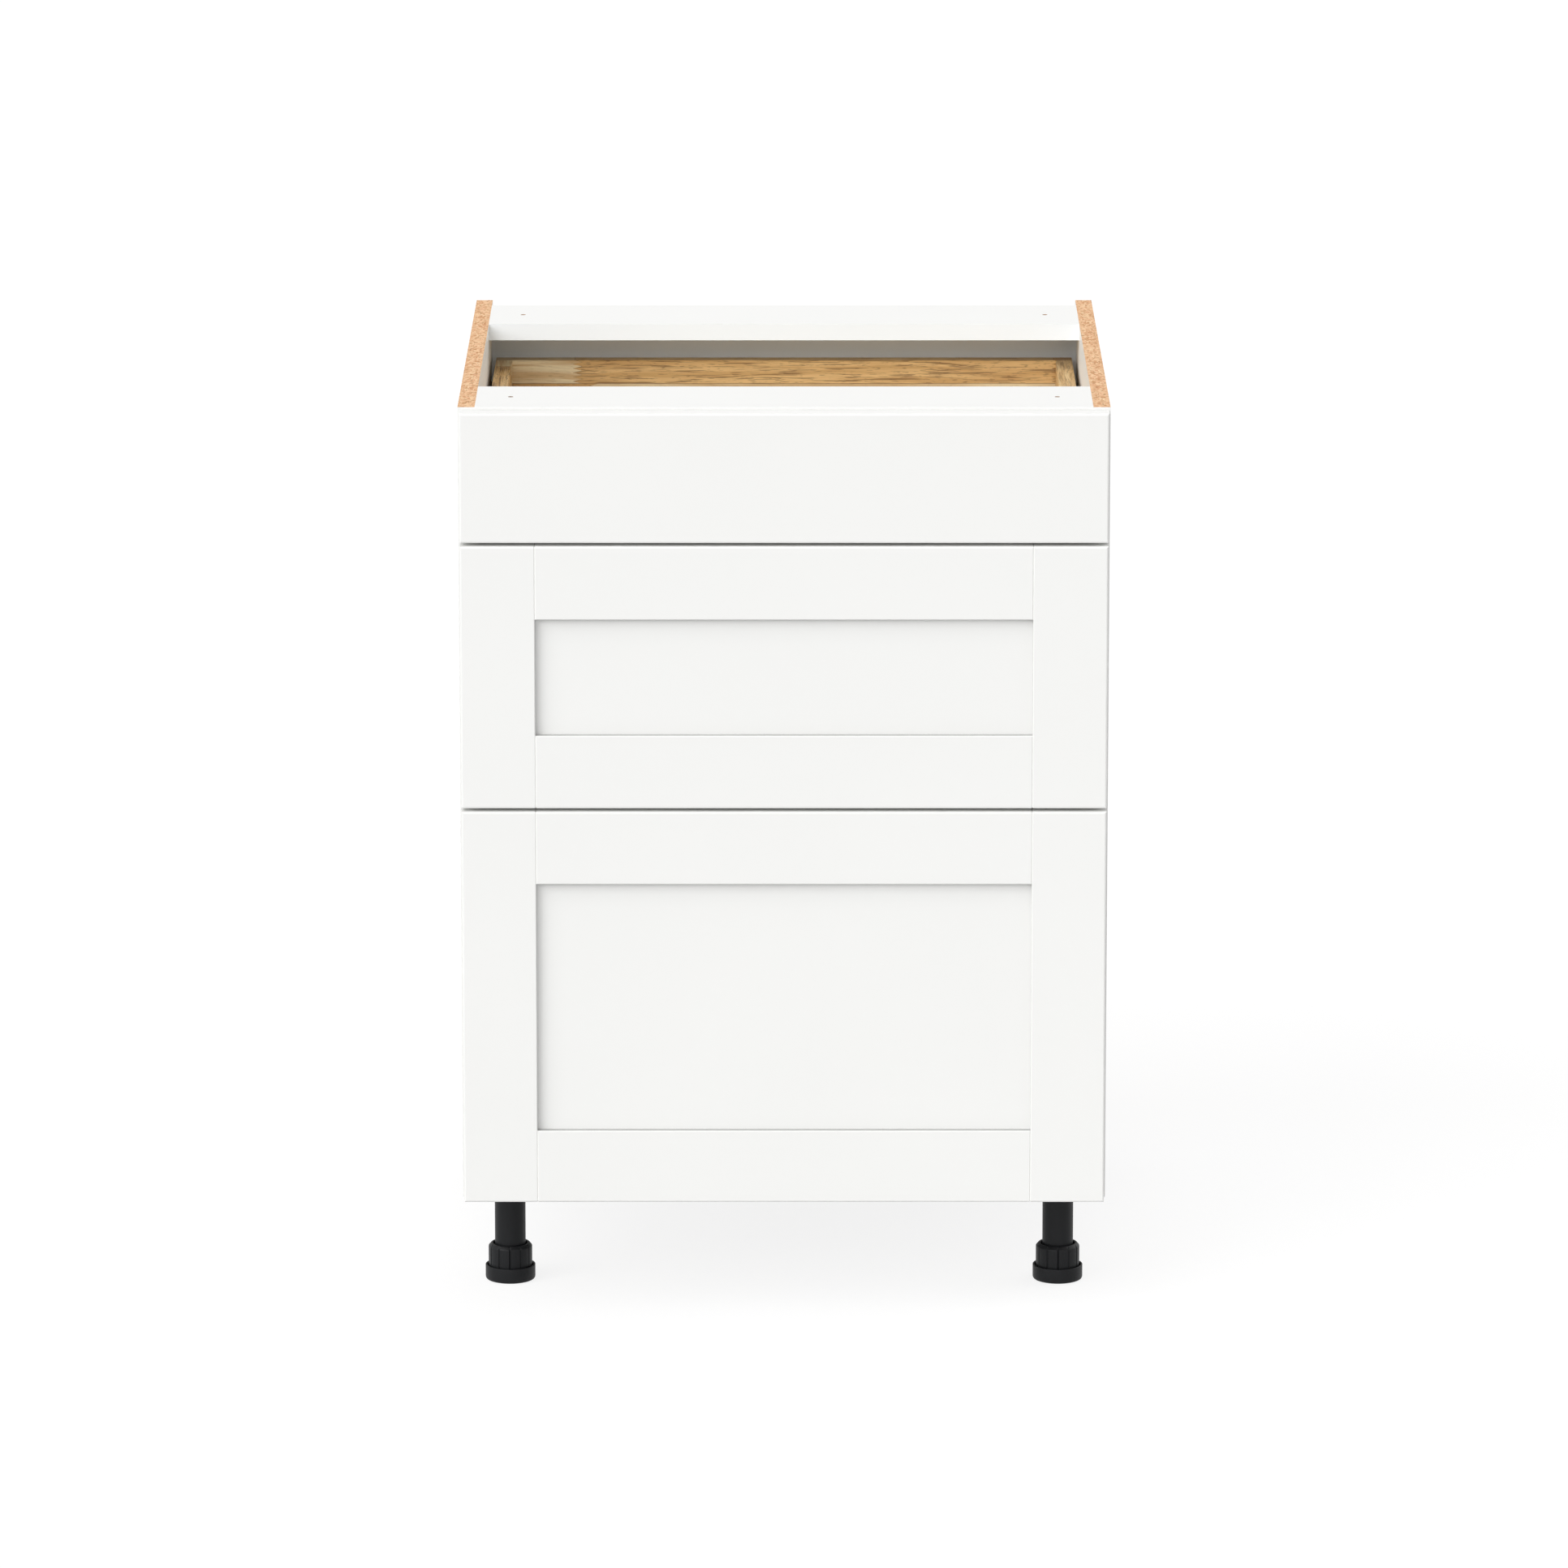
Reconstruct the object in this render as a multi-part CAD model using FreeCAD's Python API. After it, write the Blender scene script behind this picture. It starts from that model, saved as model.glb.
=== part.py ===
# Three-drawer base cabinet: a frameless carcass on four levelling legs, with dovetailed drawer
# boxes on telescopic undermount runners and overlay fronts, one plain and two framed.
# Millimetres. X points right, Y to the back and Z up; the origin is on the floor, under the middle.
import FreeCAD, Part
import math
import os

Vector = FreeCAD.Vector

# Carcass
cabinet_width = 609.6
carcass_depth = 589.1
carcass_height = 762.0
leg_height = 114.3
board = 16.0
back_thickness = 6.0
back_setback = 30.1
back_groove = 8.0
stretcher_width = 108.5
worktop_hole_radius = 2.5
worktop_hole_inset = 32.3

# Carcass joinery, hidden in the boards
dowel_radius = 4.0
dowel_length = 30.0
dowel_in_side = 11.0
glue_gap = 0.05
stretcher_joint_margin = 27.0
bottom_dowel_front = 40.0
bottom_dowel_rear = 110.0
bottom_cam_margin = 190.0
cam_radius = 7.5
cam_depth = 12.5
cam_inset = 34.0
cam_bolt_radius = 3.0
cam_bolt_in_side = 11.0

# Drawer fronts
front_thickness = 19.0
front_clearance = 1.5
front_side_reveal = 1.6
top_reveal = 2.5
bottom_reveal = 0.0
front_gap = 3.0
top_module = 127.0
middle_module = 254.0
outer_round = 2.0
frame_width = 70.0
frame_ease = 0.8
panel_thickness = 6.0
panel_recess = 8.0
frame_groove = 10.0
frame_haunch = 12.0
panel_float = 0.5

# Drawer boxes
box_board = 16.0
box_side_gap = 5.0
box_rear_clearance = 21.5
box_rise = 12.0
top_box_height = 66.0
middle_box_height = 178.0
bottom_box_height = 254.0
base_thickness = 9.0
base_rise = 13.0
base_groove = 6.0
box_ease = 1.2
pin_spacing = 25.4
pin_tip = 6.0
pin_root = 10.0

# Runners: rail on the carcass, floating middle member, slide under the drawer
steel = 1.5
rail_front_inset = 3.0
rail_rear_clearance = 17.0
rail_flange_height = 40.0
rail_depth = 9.0
runner_floor_gap = 6.0
runner_drop = 10.0
channel_clearance = 1.0
channel_width = 27.5
channel_front_inset = 22.0
lip = 4.0
roll_gap = 0.3
guide_gap = 0.7
lip_gap = 0.5
member_gap = 1.8
middle_front_inset = 24.0
middle_rear_inset = 12.0
web_inset = 5.8
slide_front_inset = 20.0
hook_height = 15.0
hook_width = 12.0
hook_peg_radius = 3.0
hook_peg_length = 8.0
hook_peg_drop = 4.0

# Latches behind the box front
latch_width = 30.0
latch_length = 56.0
latch_plate = 3.0
latch_ease = 1.5
lever_width = 12.0
lever_thickness = 3.0
lever_drop = 3.5
grip_length = 9.0
grip_drop = 3.0

# Screws
runner_screw_height = 30.0
system_setback = 37.0
system_pitch = 32.0
screw_radius = 1.9
screw_head_radius = 3.6
screw_head_height = 2.0
screw_bite = 12.0
screw_gap = 0.05
front_screw_inset = 18.0
front_screw_pitch = 100.0
front_screw_margin = 22.0

# Legs
leg_side_inset = 41.0
leg_front_inset = 124.0
leg_rear_inset = 60.0
tube_radius = 14.8
tube_low = 28.0
thread_radius = 9.0
thread_gap = 0.05
flange_radius = 30.0
flange_sides = 8
flange_thickness = 4.0
flange_screw_radius = 22.0
gusset_reach = 27.0
gusset_height = 18.0
gusset_thickness = 2.4
collar_radius = 21.0
collar_high = 36.0
collar_chamfer = 3.0
collar_top_radius = 18.4
collar_recess_radius = 16.6
collar_recess_floor = 20.0
spindle_high = 80.0
groove_count = 12
groove_width = 1.6
groove_depth = 0.8
foot_radius = 24.0
foot_wall = 1.7
foot_rim = 14.6
foot_floor = 3.0
foot_chamfer = 2.5
seat_gap = 0.3
end_gap = 0.5

# Small rounds are many-sided bars, which keeps what repeats light
pin_sides = 6
cam_sides = 12
screw_sides = 6
shank_sides = 4
spindle_sides = 10
moulding_sides = 18

# Levels and faces worked out from the sizes above
half_width = cabinet_width / 2
wall = half_width - board
front_face = -(carcass_depth + front_clearance + front_thickness) / 2
front_back = front_face + front_thickness
front_edge = front_back + front_clearance
rear_edge = front_edge + carcass_depth
back_rear = rear_edge - back_setback
back_front = back_rear - back_thickness
top = leg_height + carcass_height
floor_top = leg_height + board
front_half = half_width - front_side_reveal
box_outer = wall - box_side_gap
box_inner = box_outer - box_board
box_rear = back_front - box_rear_clearance
box_front_inner = front_back + box_board
box_rear_inner = box_rear - box_board
channel_near = box_side_gap + box_board + channel_clearance
channel_far = channel_near + channel_width
hook_middle = (channel_near + channel_far) / 2 - wall

FRONTS = {
    "top": (top - top_module + front_gap / 2, top - top_reveal),
    "middle": (top - top_module - middle_module + front_gap / 2, top - top_module - front_gap / 2),
    "bottom": (leg_height + bottom_reveal, top - top_module - middle_module - front_gap / 2),
}
BOXES = {
    "top": (FRONTS["top"][0] + box_rise, top_box_height),
    "middle": (FRONTS["middle"][0] + box_rise, middle_box_height),
    "bottom": (floor_top + runner_floor_gap + runner_drop, bottom_box_height),
}
LEGS = {
    "front_left": (-half_width + leg_side_inset, front_edge + leg_front_inset),
    "front_right": (half_width - leg_side_inset, front_edge + leg_front_inset),
    "rear_left": (-half_width + leg_side_inset, rear_edge - leg_rear_inset),
    "rear_right": (half_width - leg_side_inset, rear_edge - leg_rear_inset),
}


# Shape helpers

def block(x0, x1, y0, y1, z0, z1):
    """A box between two opposite corners."""
    return Part.makeBox(x1 - x0, y1 - y0, z1 - z0, Vector(x0, y0, z0))


def ring(radius, sides, z=0.0):
    """The corners of a regular polygon about the Z axis, the first of them towards X."""
    angles = [2 * math.pi * number / sides for number in range(sides)]
    return [Vector(radius * math.cos(angle), radius * math.sin(angle), z) for angle in angles]


def around(radius, sides):
    """The corner radius of a many-sided hole that clears a round bar of this radius."""
    return radius / math.cos(math.pi / sides)


def bar(start, direction, radius, length, sides=pin_sides):
    """A many-sided bar from start, along direction; radius is to its corners, and it has flats on its axes."""
    shape = prism(ring(radius, sides), Vector(0, 0, length))
    half_side = FreeCAD.Rotation(Vector(0, 0, 1), 180 / sides)
    turn = FreeCAD.Rotation(Vector(0, 0, 1), Vector(*direction)).multiply(half_side)
    shape.Placement = FreeCAD.Placement(Vector(*start), turn)
    return shape


def fused(shapes):
    """One solid from shapes that touch or overlap."""
    return shapes[0].multiFuse(shapes[1:]).removeSplitter()


def mirrored(shape):
    """The same shape on the other side of the cabinet."""
    return shape.mirror(Vector(0, 0, 0), Vector(1, 0, 0))


def both_sides(shapes):
    """The left-hand shapes and their right-hand mirror images."""
    return shapes + [mirrored(shape) for shape in shapes]


def prism(points, sweep):
    """A flat polygon swept along a vector."""
    return Part.Face(Part.makePolygon(points + points[:1])).extrude(sweep)


def tapered(low_rim, high_rim):
    """A solid between two like polygons, one above the other, with flat sides."""
    faces = [Part.Face(Part.makePolygon(rim + rim[:1])) for rim in (low_rim, high_rim)]
    for number in range(len(low_rim)):
        a, b, c, d = low_rim[number - 1], low_rim[number], high_rim[number], high_rim[number - 1]
        faces.append(Part.Face(Part.makePolygon([a, b, c, d, a])))
    return Part.Solid(Part.Shell(faces))


def edges_on(shape, **planes):
    """The edges that lie wholly on the named planes, such as y=front_face."""
    found = []
    for edge in shape.Edges:
        box = edge.BoundBox
        spans = {"x": (box.XMin, box.XMax), "y": (box.YMin, box.YMax), "z": (box.ZMin, box.ZMax)}
        if all(abs(end - level) < 1e-4 for axis, level in planes.items() for end in spans[axis]):
            found.append(edge)
    return found


def arris_cutter(place, corner, level, inward, sweep):
    """What easing takes off a top arris; place puts (offset, height) in space."""
    ends = [(corner, level), (corner + inward * box_ease, level), (corner, level - box_ease)]
    return prism([place(offset, height) for offset, height in ends], sweep)


def folded(path, y0, y1, level):
    """Folded sheet steel: a path of (distance from the left wall, height) swept from y0 to y1.

    The path is the outer face, and the sheet lies to its left as it is followed.
    """
    points = [Vector(u - wall, y0, level + height) for u, height in path]
    section = Part.makePolygon(points).makeOffset2D(steel, 2, True, True, False)
    return section.Faces[0].extrude(Vector(0, y1 - y0, 0))


def screw(head, direction, length):
    """A screw whose head bears at the point head, with its shank along direction."""
    back = [at - part * screw_head_height for at, part in zip(head, direction)]
    cap = bar(back, direction, screw_head_radius, screw_head_height, screw_sides)
    return fused([cap, bar(head, direction, screw_radius, length, shank_sides)])


def pilot(head, direction, length):
    """The hole that a screw runs in."""
    return bar(head, direction, screw_radius + screw_gap, length + screw_gap, shank_sides)


def drilled(shape, holes):
    """The shape with all the holes cut that reach it."""
    reached = [hole for hole in holes if hole.BoundBox.intersect(shape.BoundBox)]
    return shape.cut(reached) if reached else shape


def save(node, *solids):
    """Write one node as STEP, with its solids kept apart."""
    shape = solids[0] if len(solids) == 1 else Part.makeCompound(list(solids))
    for solid in shape.Solids:
        if not solid.isValid():
            raise ValueError(node + " has an invalid solid")
    shape.exportStep(os.path.join("parts", node + ".step"))
    SAVED.append((node, len(shape.Solids), shape.Volume))


# Fasteners, each with the hole that it needs. All are made for the left and mirrored.

def runner_screws():
    """Where the rails' screws go: head points on the flanges, on the cabinet's system holes."""
    last_row = int((back_front - rail_rear_clearance - front_edge - system_setback) // system_pitch)
    heads = []
    for low, height in BOXES.values():
        for row in (0, last_row // 2, last_row):
            heads.append((-wall + steel, front_edge + system_setback + row * system_pitch,
                          low - runner_drop + runner_screw_height))
    return heads


def flange_screws():
    """Where the legs' screws go: head points under each left-hand flange."""
    reach = flange_screw_radius * math.sqrt(0.5)
    heads = []
    for name in ("front_left", "rear_left"):
        x, y = LEGS[name]
        for step_x in (-reach, reach):
            for step_y in (-reach, reach):
                heads.append((x + step_x, y + step_y, leg_height - flange_thickness))
    return heads


def front_screws(drawer):
    """Where one drawer's front screws go: head points inside the box front, on the left."""
    low, height = BOXES[drawer]
    first = low + base_rise + base_thickness + front_screw_margin
    last = low + height - front_screw_margin
    rows = 1 + int(max(0.0, last - first) // front_screw_pitch)
    step = (last - first) / max(1, rows - 1)
    return [(-box_inner + front_screw_inset, box_front_inner, last - step * row) for row in range(rows)]


def board_ends():
    """The boards that butt against the side panels: their mid-height, dowel rows and cam rows."""
    middle = board / 2
    front = front_edge + stretcher_joint_margin
    rear = back_rear - stretcher_joint_margin
    across = stretcher_width - 2 * stretcher_joint_margin
    return [
        (floor_top - middle,
         (front_edge + bottom_dowel_front, (front_edge + rear_edge) / 2, rear_edge - bottom_dowel_rear),
         (front_edge + bottom_cam_margin, rear_edge - bottom_cam_margin)),
        (top - middle, (front + across, rear - across), (front, rear)),
    ]


def dowels_and_cams():
    """The dowels, cam locks and cam bolts of the left side, with their holes."""
    dowels = []
    cams = []
    holes = []
    for level, dowel_rows, cam_rows in board_ends():
        underside = level - board / 2
        for y in dowel_rows:
            start = -wall - dowel_in_side
            dowels.append(bar((start, y, level), (1, 0, 0), dowel_radius - glue_gap, dowel_length))
            holes.append(bar((start - end_gap, y, level), (1, 0, 0), dowel_radius,
                             dowel_length + 2 * end_gap))
        for y in cam_rows:
            start = -wall - cam_bolt_in_side
            centre = -wall + cam_inset
            near = centre - cam_radius
            bore = bar((start - end_gap, y, level), (1, 0, 0), cam_bolt_radius + glue_gap,
                       centre - start + end_gap)
            pocket = bar((centre, y, underside), (0, 0, 1), cam_radius, cam_depth, cam_sides)
            bolt = bar((start, y, level), (1, 0, 0), cam_bolt_radius, centre - start)
            body = bar((centre, y, underside), (0, 0, 1), cam_radius - glue_gap, cam_depth - glue_gap,
                       cam_sides)
            slot = block(near, centre + end_gap, y - cam_bolt_radius - glue_gap,
                         y + cam_bolt_radius + glue_gap, level - cam_bolt_radius - glue_gap,
                         level + cam_bolt_radius + glue_gap)
            cams += [body.cut(slot), bolt]
            holes += [bore, pocket]
    return dowels, cams, holes


# Carcass

def carcass():
    """Boards, dowels and cam fittings."""
    dowels, cams, joint_holes = dowels_and_cams()
    sideways = [pilot(head, (-1, 0, 0), steel + screw_bite) for head in runner_screws()]
    upward = [pilot(head, (0, 0, 1), flange_thickness + screw_bite) for head in flange_screws()]
    holes = both_sides(joint_holes + sideways + upward)
    back = block(-wall - back_groove, wall + back_groove, back_front, back_rear,
                 floor_top - back_groove, top - board + back_groove)
    side = block(-half_width, -wall, front_edge, rear_edge, leg_height, top).cut(back)
    side = drilled(side, holes)
    floor = block(-wall, wall, front_edge, rear_edge, leg_height, floor_top).cut(back)
    stretchers = []
    for near in (front_edge, back_rear - stretcher_width):
        far = near + stretcher_width
        plank = block(-wall, wall, near, far, top - board, top).cut(back)
        for x in (-wall + worktop_hole_inset, wall - worktop_hole_inset):
            foot_of_hole = Vector(x, (near + far) / 2, top - board)
            plank = plank.cut(Part.makeCylinder(worktop_hole_radius, board, foot_of_hole))
        stretchers.append(drilled(plank, holes))
    save("side_panel_left", side)
    save("side_panel_right", mirrored(side))
    save("bottom_panel", drilled(floor, holes))
    save("back_panel", back)
    save("front_stretcher", stretchers[0])
    save("back_stretcher", stretchers[1])
    save("assembly_dowels", *both_sides(dowels))
    save("cam_fittings", *both_sides(cams))


def fixing_screws():
    """The screws that hold the rails to the sides and the legs to the underside."""
    screws = [screw(head, (-1, 0, 0), steel + screw_bite) for head in runner_screws()]
    screws += [screw(head, (0, 0, 1), flange_thickness + screw_bite) for head in flange_screws()]
    save("fixing_screws", *both_sides(screws))


# Legs: a flanged tube with a nut at its foot, a ribbed collar on a screwed spindle, and a foot cup

def leg_tube(x, y):
    """The fixed tube, its screw-on flange and the four gussets between them."""
    underside = leg_height - flange_thickness
    up = (0, 0, 1)
    tube = bar((x, y, tube_low), up, tube_radius, underside - tube_low, moulding_sides)
    bore = bar((x, y, tube_low), up, around(thread_radius + thread_gap, spindle_sides),
               underside - tube_low, spindle_sides)
    flange = bar((x, y, underside), up, flange_radius, flange_thickness, flange_sides)
    gussets = []
    inside = (tube_radius + thread_radius + thread_gap) / 2
    for quarter in range(4):
        corners = [(inside, underside), (gusset_reach, underside), (inside, underside - gusset_height)]
        points = [Vector(x + radius, y - gusset_thickness / 2, z) for radius, z in corners]
        gusset = prism(points, Vector(0, gusset_thickness, 0))
        gusset.rotate(Vector(x, y, 0), Vector(0, 0, 1), 90 * quarter)
        gussets.append(gusset)
    pilots = [pilot(head, (0, 0, 1), flange_thickness) for head in flange_screws()]
    return drilled(fused([tube.cut(bore), flange] + gussets), both_sides(pilots))


def grip_outline():
    """The grip's outline: flat lands with a groove between each and the next, one of them towards X."""
    half_land = math.pi / groove_count - groove_width / collar_radius / 2
    root = collar_radius - groove_depth
    corners = []
    for number in range(groove_count):
        middle = 2 * math.pi * (number + 0.5) / groove_count
        corners += [(root, middle - half_land), (collar_radius, middle - half_land),
                    (collar_radius, middle + half_land), (root, middle + half_land)]
    return [Vector(reach * math.cos(angle), reach * math.sin(angle), 0) for reach, angle in corners]


def collar(x, y):
    """The grip that is turned to set the height, one piece with its screwed spindle."""
    low = foot_floor + seat_gap
    shoulder = collar_high - collar_chamfer
    grip = prism(grip_outline(), Vector(0, 0, collar_high - low))
    grip.translate(Vector(0, 0, low))
    wide = around(collar_radius, groove_count)
    below = prism(ring(wide, groove_count, low), Vector(0, 0, shoulder - low))
    crown = tapered(ring(wide, groove_count, shoulder),
                    ring(collar_top_radius, groove_count, collar_high))
    grip = grip.common(fused([below, crown]))
    grip.translate(Vector(x, y, 0))
    recess = bar((x, y, collar_recess_floor), (0, 0, 1), collar_recess_radius,
                 collar_high - collar_recess_floor, moulding_sides)
    spindle = bar((x, y, collar_recess_floor), (0, 0, 1), thread_radius, spindle_high - collar_recess_floor,
                  spindle_sides)
    return fused([grip.cut(recess), spindle])


def foot(x, y):
    """The cup that stands on the floor and holds the collar as it turns."""
    cup = bar((x, y, 0), (0, 0, 1), foot_radius, foot_rim, moulding_sides)
    cup = cup.makeChamfer(foot_chamfer, edges_on(cup, z=0))
    return cup.cut(bar((x, y, foot_floor), (0, 0, 1), foot_radius - foot_wall, foot_rim, moulding_sides))


def legs():
    """Four legs, each as three pieces."""
    save("leg_tubes", *[leg_tube(x, y) for x, y in LEGS.values()])
    for name, (x, y) in LEGS.items():
        save("collar_" + name, collar(x, y))
        save("foot_" + name, foot(x, y))


# Runners

def runner(drawer):
    """A pair of rails, a pair of middle members and a pair of slides under one drawer."""
    low = BOXES[drawer][0] - runner_drop
    rail_front = front_edge + rail_front_inset
    rail_rear = back_front - rail_rear_clearance
    channel_front = front_edge + channel_front_inset
    angle = folded([(0, rail_flange_height), (0, 0), (channel_far, 0)], rail_front, rail_rear, low)
    near_wall = folded([(channel_near + lip, rail_depth), (channel_near, rail_depth), (channel_near, 0)],
                       channel_front, rail_rear, low)
    far_wall = folded([(channel_far, 0), (channel_far, rail_depth), (channel_far - lip, rail_depth)],
                      channel_front, rail_rear, low)
    rail = fused([angle, near_wall, far_wall])
    pilots = [pilot(head, (-1, 0, 0), steel) for head in runner_screws()]
    save(drawer + "_runner_rails", *both_sides([drilled(rail, pilots)]))

    slide_top = runner_drop + base_rise
    slide_low = rail_depth + member_gap
    near = channel_near + steel + guide_gap
    far = channel_far - steel - guide_gap
    tray_low = steel + roll_gap
    tray_high = rail_depth - steel - lip_gap
    head_low = slide_low + steel + roll_gap
    head_high = slide_top - steel - roll_gap
    middle_front = front_edge + middle_front_inset
    middle_rear = rail_rear - middle_rear_inset
    tray = folded([(near, tray_high), (near, tray_low), (far, tray_low), (far, tray_high)],
                  middle_front, middle_rear, low)
    head = folded([(near, head_high), (near, head_low), (far, head_low), (far, head_high)],
                  middle_front, middle_rear, low)
    webs = [block(u - wall, u + steel - wall, middle_front, middle_rear, low + tray_low, low + head_low + steel)
            for u in (near + web_inset, far - web_inset - steel)]
    save(drawer + "_runner_middles", *both_sides([fused([tray, head] + webs)]))

    slide_front = front_edge + slide_front_inset
    slide_rear = box_rear + steel
    cover = folded([
        (channel_far - lip, slide_low), (channel_far, slide_low), (channel_far, slide_top),
        (channel_near, slide_top), (channel_near, slide_low), (channel_near + lip, slide_low),
    ], slide_front, box_rear, low)
    hook_left = hook_middle - hook_width / 2
    hook_top = low + slide_top + hook_height
    tab = block(hook_left, hook_left + hook_width, box_rear, slide_rear, low + slide_top - steel, hook_top)
    peg = bar((hook_middle, box_rear, hook_top - hook_peg_drop), (0, -1, 0), hook_peg_radius,
              hook_peg_length)
    save(drawer + "_runner_slides", *both_sides([fused([cover, tab, peg])]))


# Drawer boxes

def dovetail_pins(low, height, end, inward):
    """The left-hand pins of one box corner: narrow at the end face, wide at the root."""
    count = max(1, round(height / pin_spacing))
    pitch = height / count
    root = end + inward * box_board
    pins = []
    for number in range(1, count + 1):
        centre = low + number * pitch
        over = 0.0 if number == count else 1.0
        corners = [(end, centre - pin_tip / 2), (root, centre - pin_root / 2),
                   (root, centre + over * pin_root / 2), (end, centre + over * pin_tip / 2)]
        pins.append(prism([Vector(-box_outer, y, z) for y, z in corners], Vector(box_board, 0, 0)))
    return pins


def drawer_box(drawer):
    """Four dovetailed boards round a captured base, with the slides' notches at the rear."""
    low, height = BOXES[drawer]
    high = low + height
    base = block(-box_inner - base_groove, box_inner + base_groove,
                 box_front_inner - base_groove, box_rear_inner + base_groove,
                 low + base_rise, low + base_rise + base_thickness)
    front_pins = dovetail_pins(low, height, front_back, 1)
    rear_pins = dovetail_pins(low, height, box_rear, -1)
    side = block(-box_outer, -box_inner, front_back, box_rear, low, high)
    side = side.cut(front_pins + rear_pins + [base])
    side = side.cut(arris_cutter(lambda x, z: Vector(x, box_front_inner, z), -box_inner, high, -1,
                                 Vector(0, box_rear_inner - box_front_inner, 0)))
    save(drawer + "_box_left", side)
    save(drawer + "_box_right", mirrored(side))

    across = Vector(2 * box_inner, 0, 0)
    holes = both_sides([pilot(head, (0, -1, 0), box_board) for head in front_screws(drawer)])
    near = block(-box_inner, box_inner, front_back, box_front_inner, low, high)
    near = fused([near] + both_sides(front_pins)).cut(base)
    near = near.cut(arris_cutter(lambda y, z: Vector(-box_inner, y, z), box_front_inner, high, -1, across))
    save(drawer + "_box_front", near.cut(holes))

    notch = block(-box_inner, -wall + channel_far + channel_clearance, box_rear_inner, box_rear,
                  low, low + base_rise)
    peg_hole = bar((hook_middle, box_rear, low + base_rise + hook_height - hook_peg_drop), (0, -1, 0),
                   hook_peg_radius + screw_gap, hook_peg_length + screw_gap)
    far = block(-box_inner, box_inner, box_rear_inner, box_rear, low, high)
    far = fused([far] + both_sides(rear_pins)).cut([base] + both_sides([notch, peg_hole]))
    far = far.cut(arris_cutter(lambda y, z: Vector(-box_inner, y, z), box_rear_inner, high, 1, across))
    save(drawer + "_box_back", far)
    save(drawer + "_box_base", base)


def latch(drawer):
    """The catches under the base that grip the slides: a plate with a lever on a thin hinge."""
    low, height = BOXES[drawer]
    high = low + base_rise
    near = box_front_inner
    left = -wall + channel_far
    plate = block(left, left + latch_width, near, near + latch_length, high - latch_plate, high)
    lever_top = high - latch_plate - lever_drop
    lever_left = left + latch_width - lever_width
    lever = block(lever_left, left + latch_width, near, near + latch_length,
                  lever_top - lever_thickness, lever_top)
    hinge = block(lever_left, left + latch_width, near + latch_length - lever_thickness,
                  near + latch_length, lever_top - lever_thickness, high)
    grip = block(lever_left, left + latch_width, near, near + grip_length,
                 lever_top - lever_thickness - grip_drop, lever_top)
    cheek = block(left, left + lever_thickness, near, near + latch_length / 2,
                  lever_top - lever_thickness, high)
    body = fused([plate, lever, hinge, grip, cheek])
    upright = edges_on(body, x=lever_left, y=near) + edges_on(body, x=left + latch_width, y=near)
    save(drawer + "_latches", *both_sides([body.makeChamfer(latch_ease, upright)]))


# Drawer fronts

def front_blank(drawer):
    """The outline of one front, its four long front edges rounded."""
    low, high = FRONTS[drawer]
    blank = block(-front_half, front_half, front_face, front_back, low, high)
    return blank.makeFillet(outer_round, edges_on(blank, y=front_face))


def plain_front(drawer):
    """A solid slab front."""
    holes = both_sides([pilot(head, (0, -1, 0), box_board + screw_bite) for head in front_screws(drawer)])
    save(drawer + "_front_slab", front_blank(drawer).cut(holes))


def framed_front(drawer):
    """A front of two stiles, two rails with stub tenons, and a panel loose in their grooves."""
    low, high = FRONTS[drawer]
    blank = front_blank(drawer)
    holes = both_sides([pilot(head, (0, -1, 0), box_board + screw_bite) for head in front_screws(drawer)])
    inner = front_half - frame_width
    groove_front = front_face + panel_recess
    groove_rear = groove_front + panel_thickness

    stile = blank.common(block(-front_half, -inner, front_face, front_back, low, high))
    stile = stile.makeChamfer(frame_ease, edges_on(stile, x=-inner, y=front_face))
    stile = stile.cut(block(-inner - frame_groove, -inner, groove_front, groove_rear,
                            low + frame_haunch, high - frame_haunch))
    save(drawer + "_left_stile", stile.cut(holes))
    save(drawer + "_right_stile", mirrored(stile).cut(holes))

    for name, outer, inward in (("top", high, -1), ("bottom", low, 1)):
        edge = outer + inward * frame_width
        rail = blank.common(block(-inner, inner, front_face, front_back, min(outer, edge), max(outer, edge)))
        eased = [edges_on(rail, **{"y": front_face, side: level})
                 for side, level in (("x", -inner), ("x", inner), ("z", edge))]
        rail = rail.makeChamfer(frame_ease, sum(eased, []))
        depths = sorted((edge, edge - inward * frame_groove))
        rail = rail.cut(block(-inner, inner, groove_front, groove_rear, *depths))
        heights = sorted((outer + inward * frame_haunch, edge - inward * frame_groove))
        tenons = both_sides([block(-inner - frame_groove, -inner, groove_front, groove_rear, *heights)])
        save(drawer + "_" + name + "_rail", fused([rail] + tenons))

    reach = frame_groove - panel_float
    save(drawer + "_front_panel",
         block(-inner - reach, inner + reach, groove_front, groove_rear,
               low + frame_width - reach, high - frame_width + reach))


def drawer_parts(drawer, make_front):
    """Everything that belongs to one drawer."""
    runner(drawer)
    drawer_box(drawer)
    latch(drawer)
    make_front(drawer)
    screws = [screw(head, (0, -1, 0), box_board + screw_bite) for head in front_screws(drawer)]
    save(drawer + "_front_screws", *both_sides(screws))


SAVED = []
os.makedirs("parts", exist_ok=True)
carcass()
fixing_screws()
legs()
drawer_parts("top", plain_front)
drawer_parts("middle", framed_front)
drawer_parts("bottom", framed_front)
for node, count, volume in SAVED:
    print(f"{node:24s} {count:3d} solids {volume / 1000:10.2f} cm3")
print(len(SAVED), "nodes")
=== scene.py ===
# The finish of a white base cabinet with three drawers, on its packed construction.
# Everything is in metres, in the construction's own frame: X right, Y back, Z up from the floor.
import math

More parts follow.
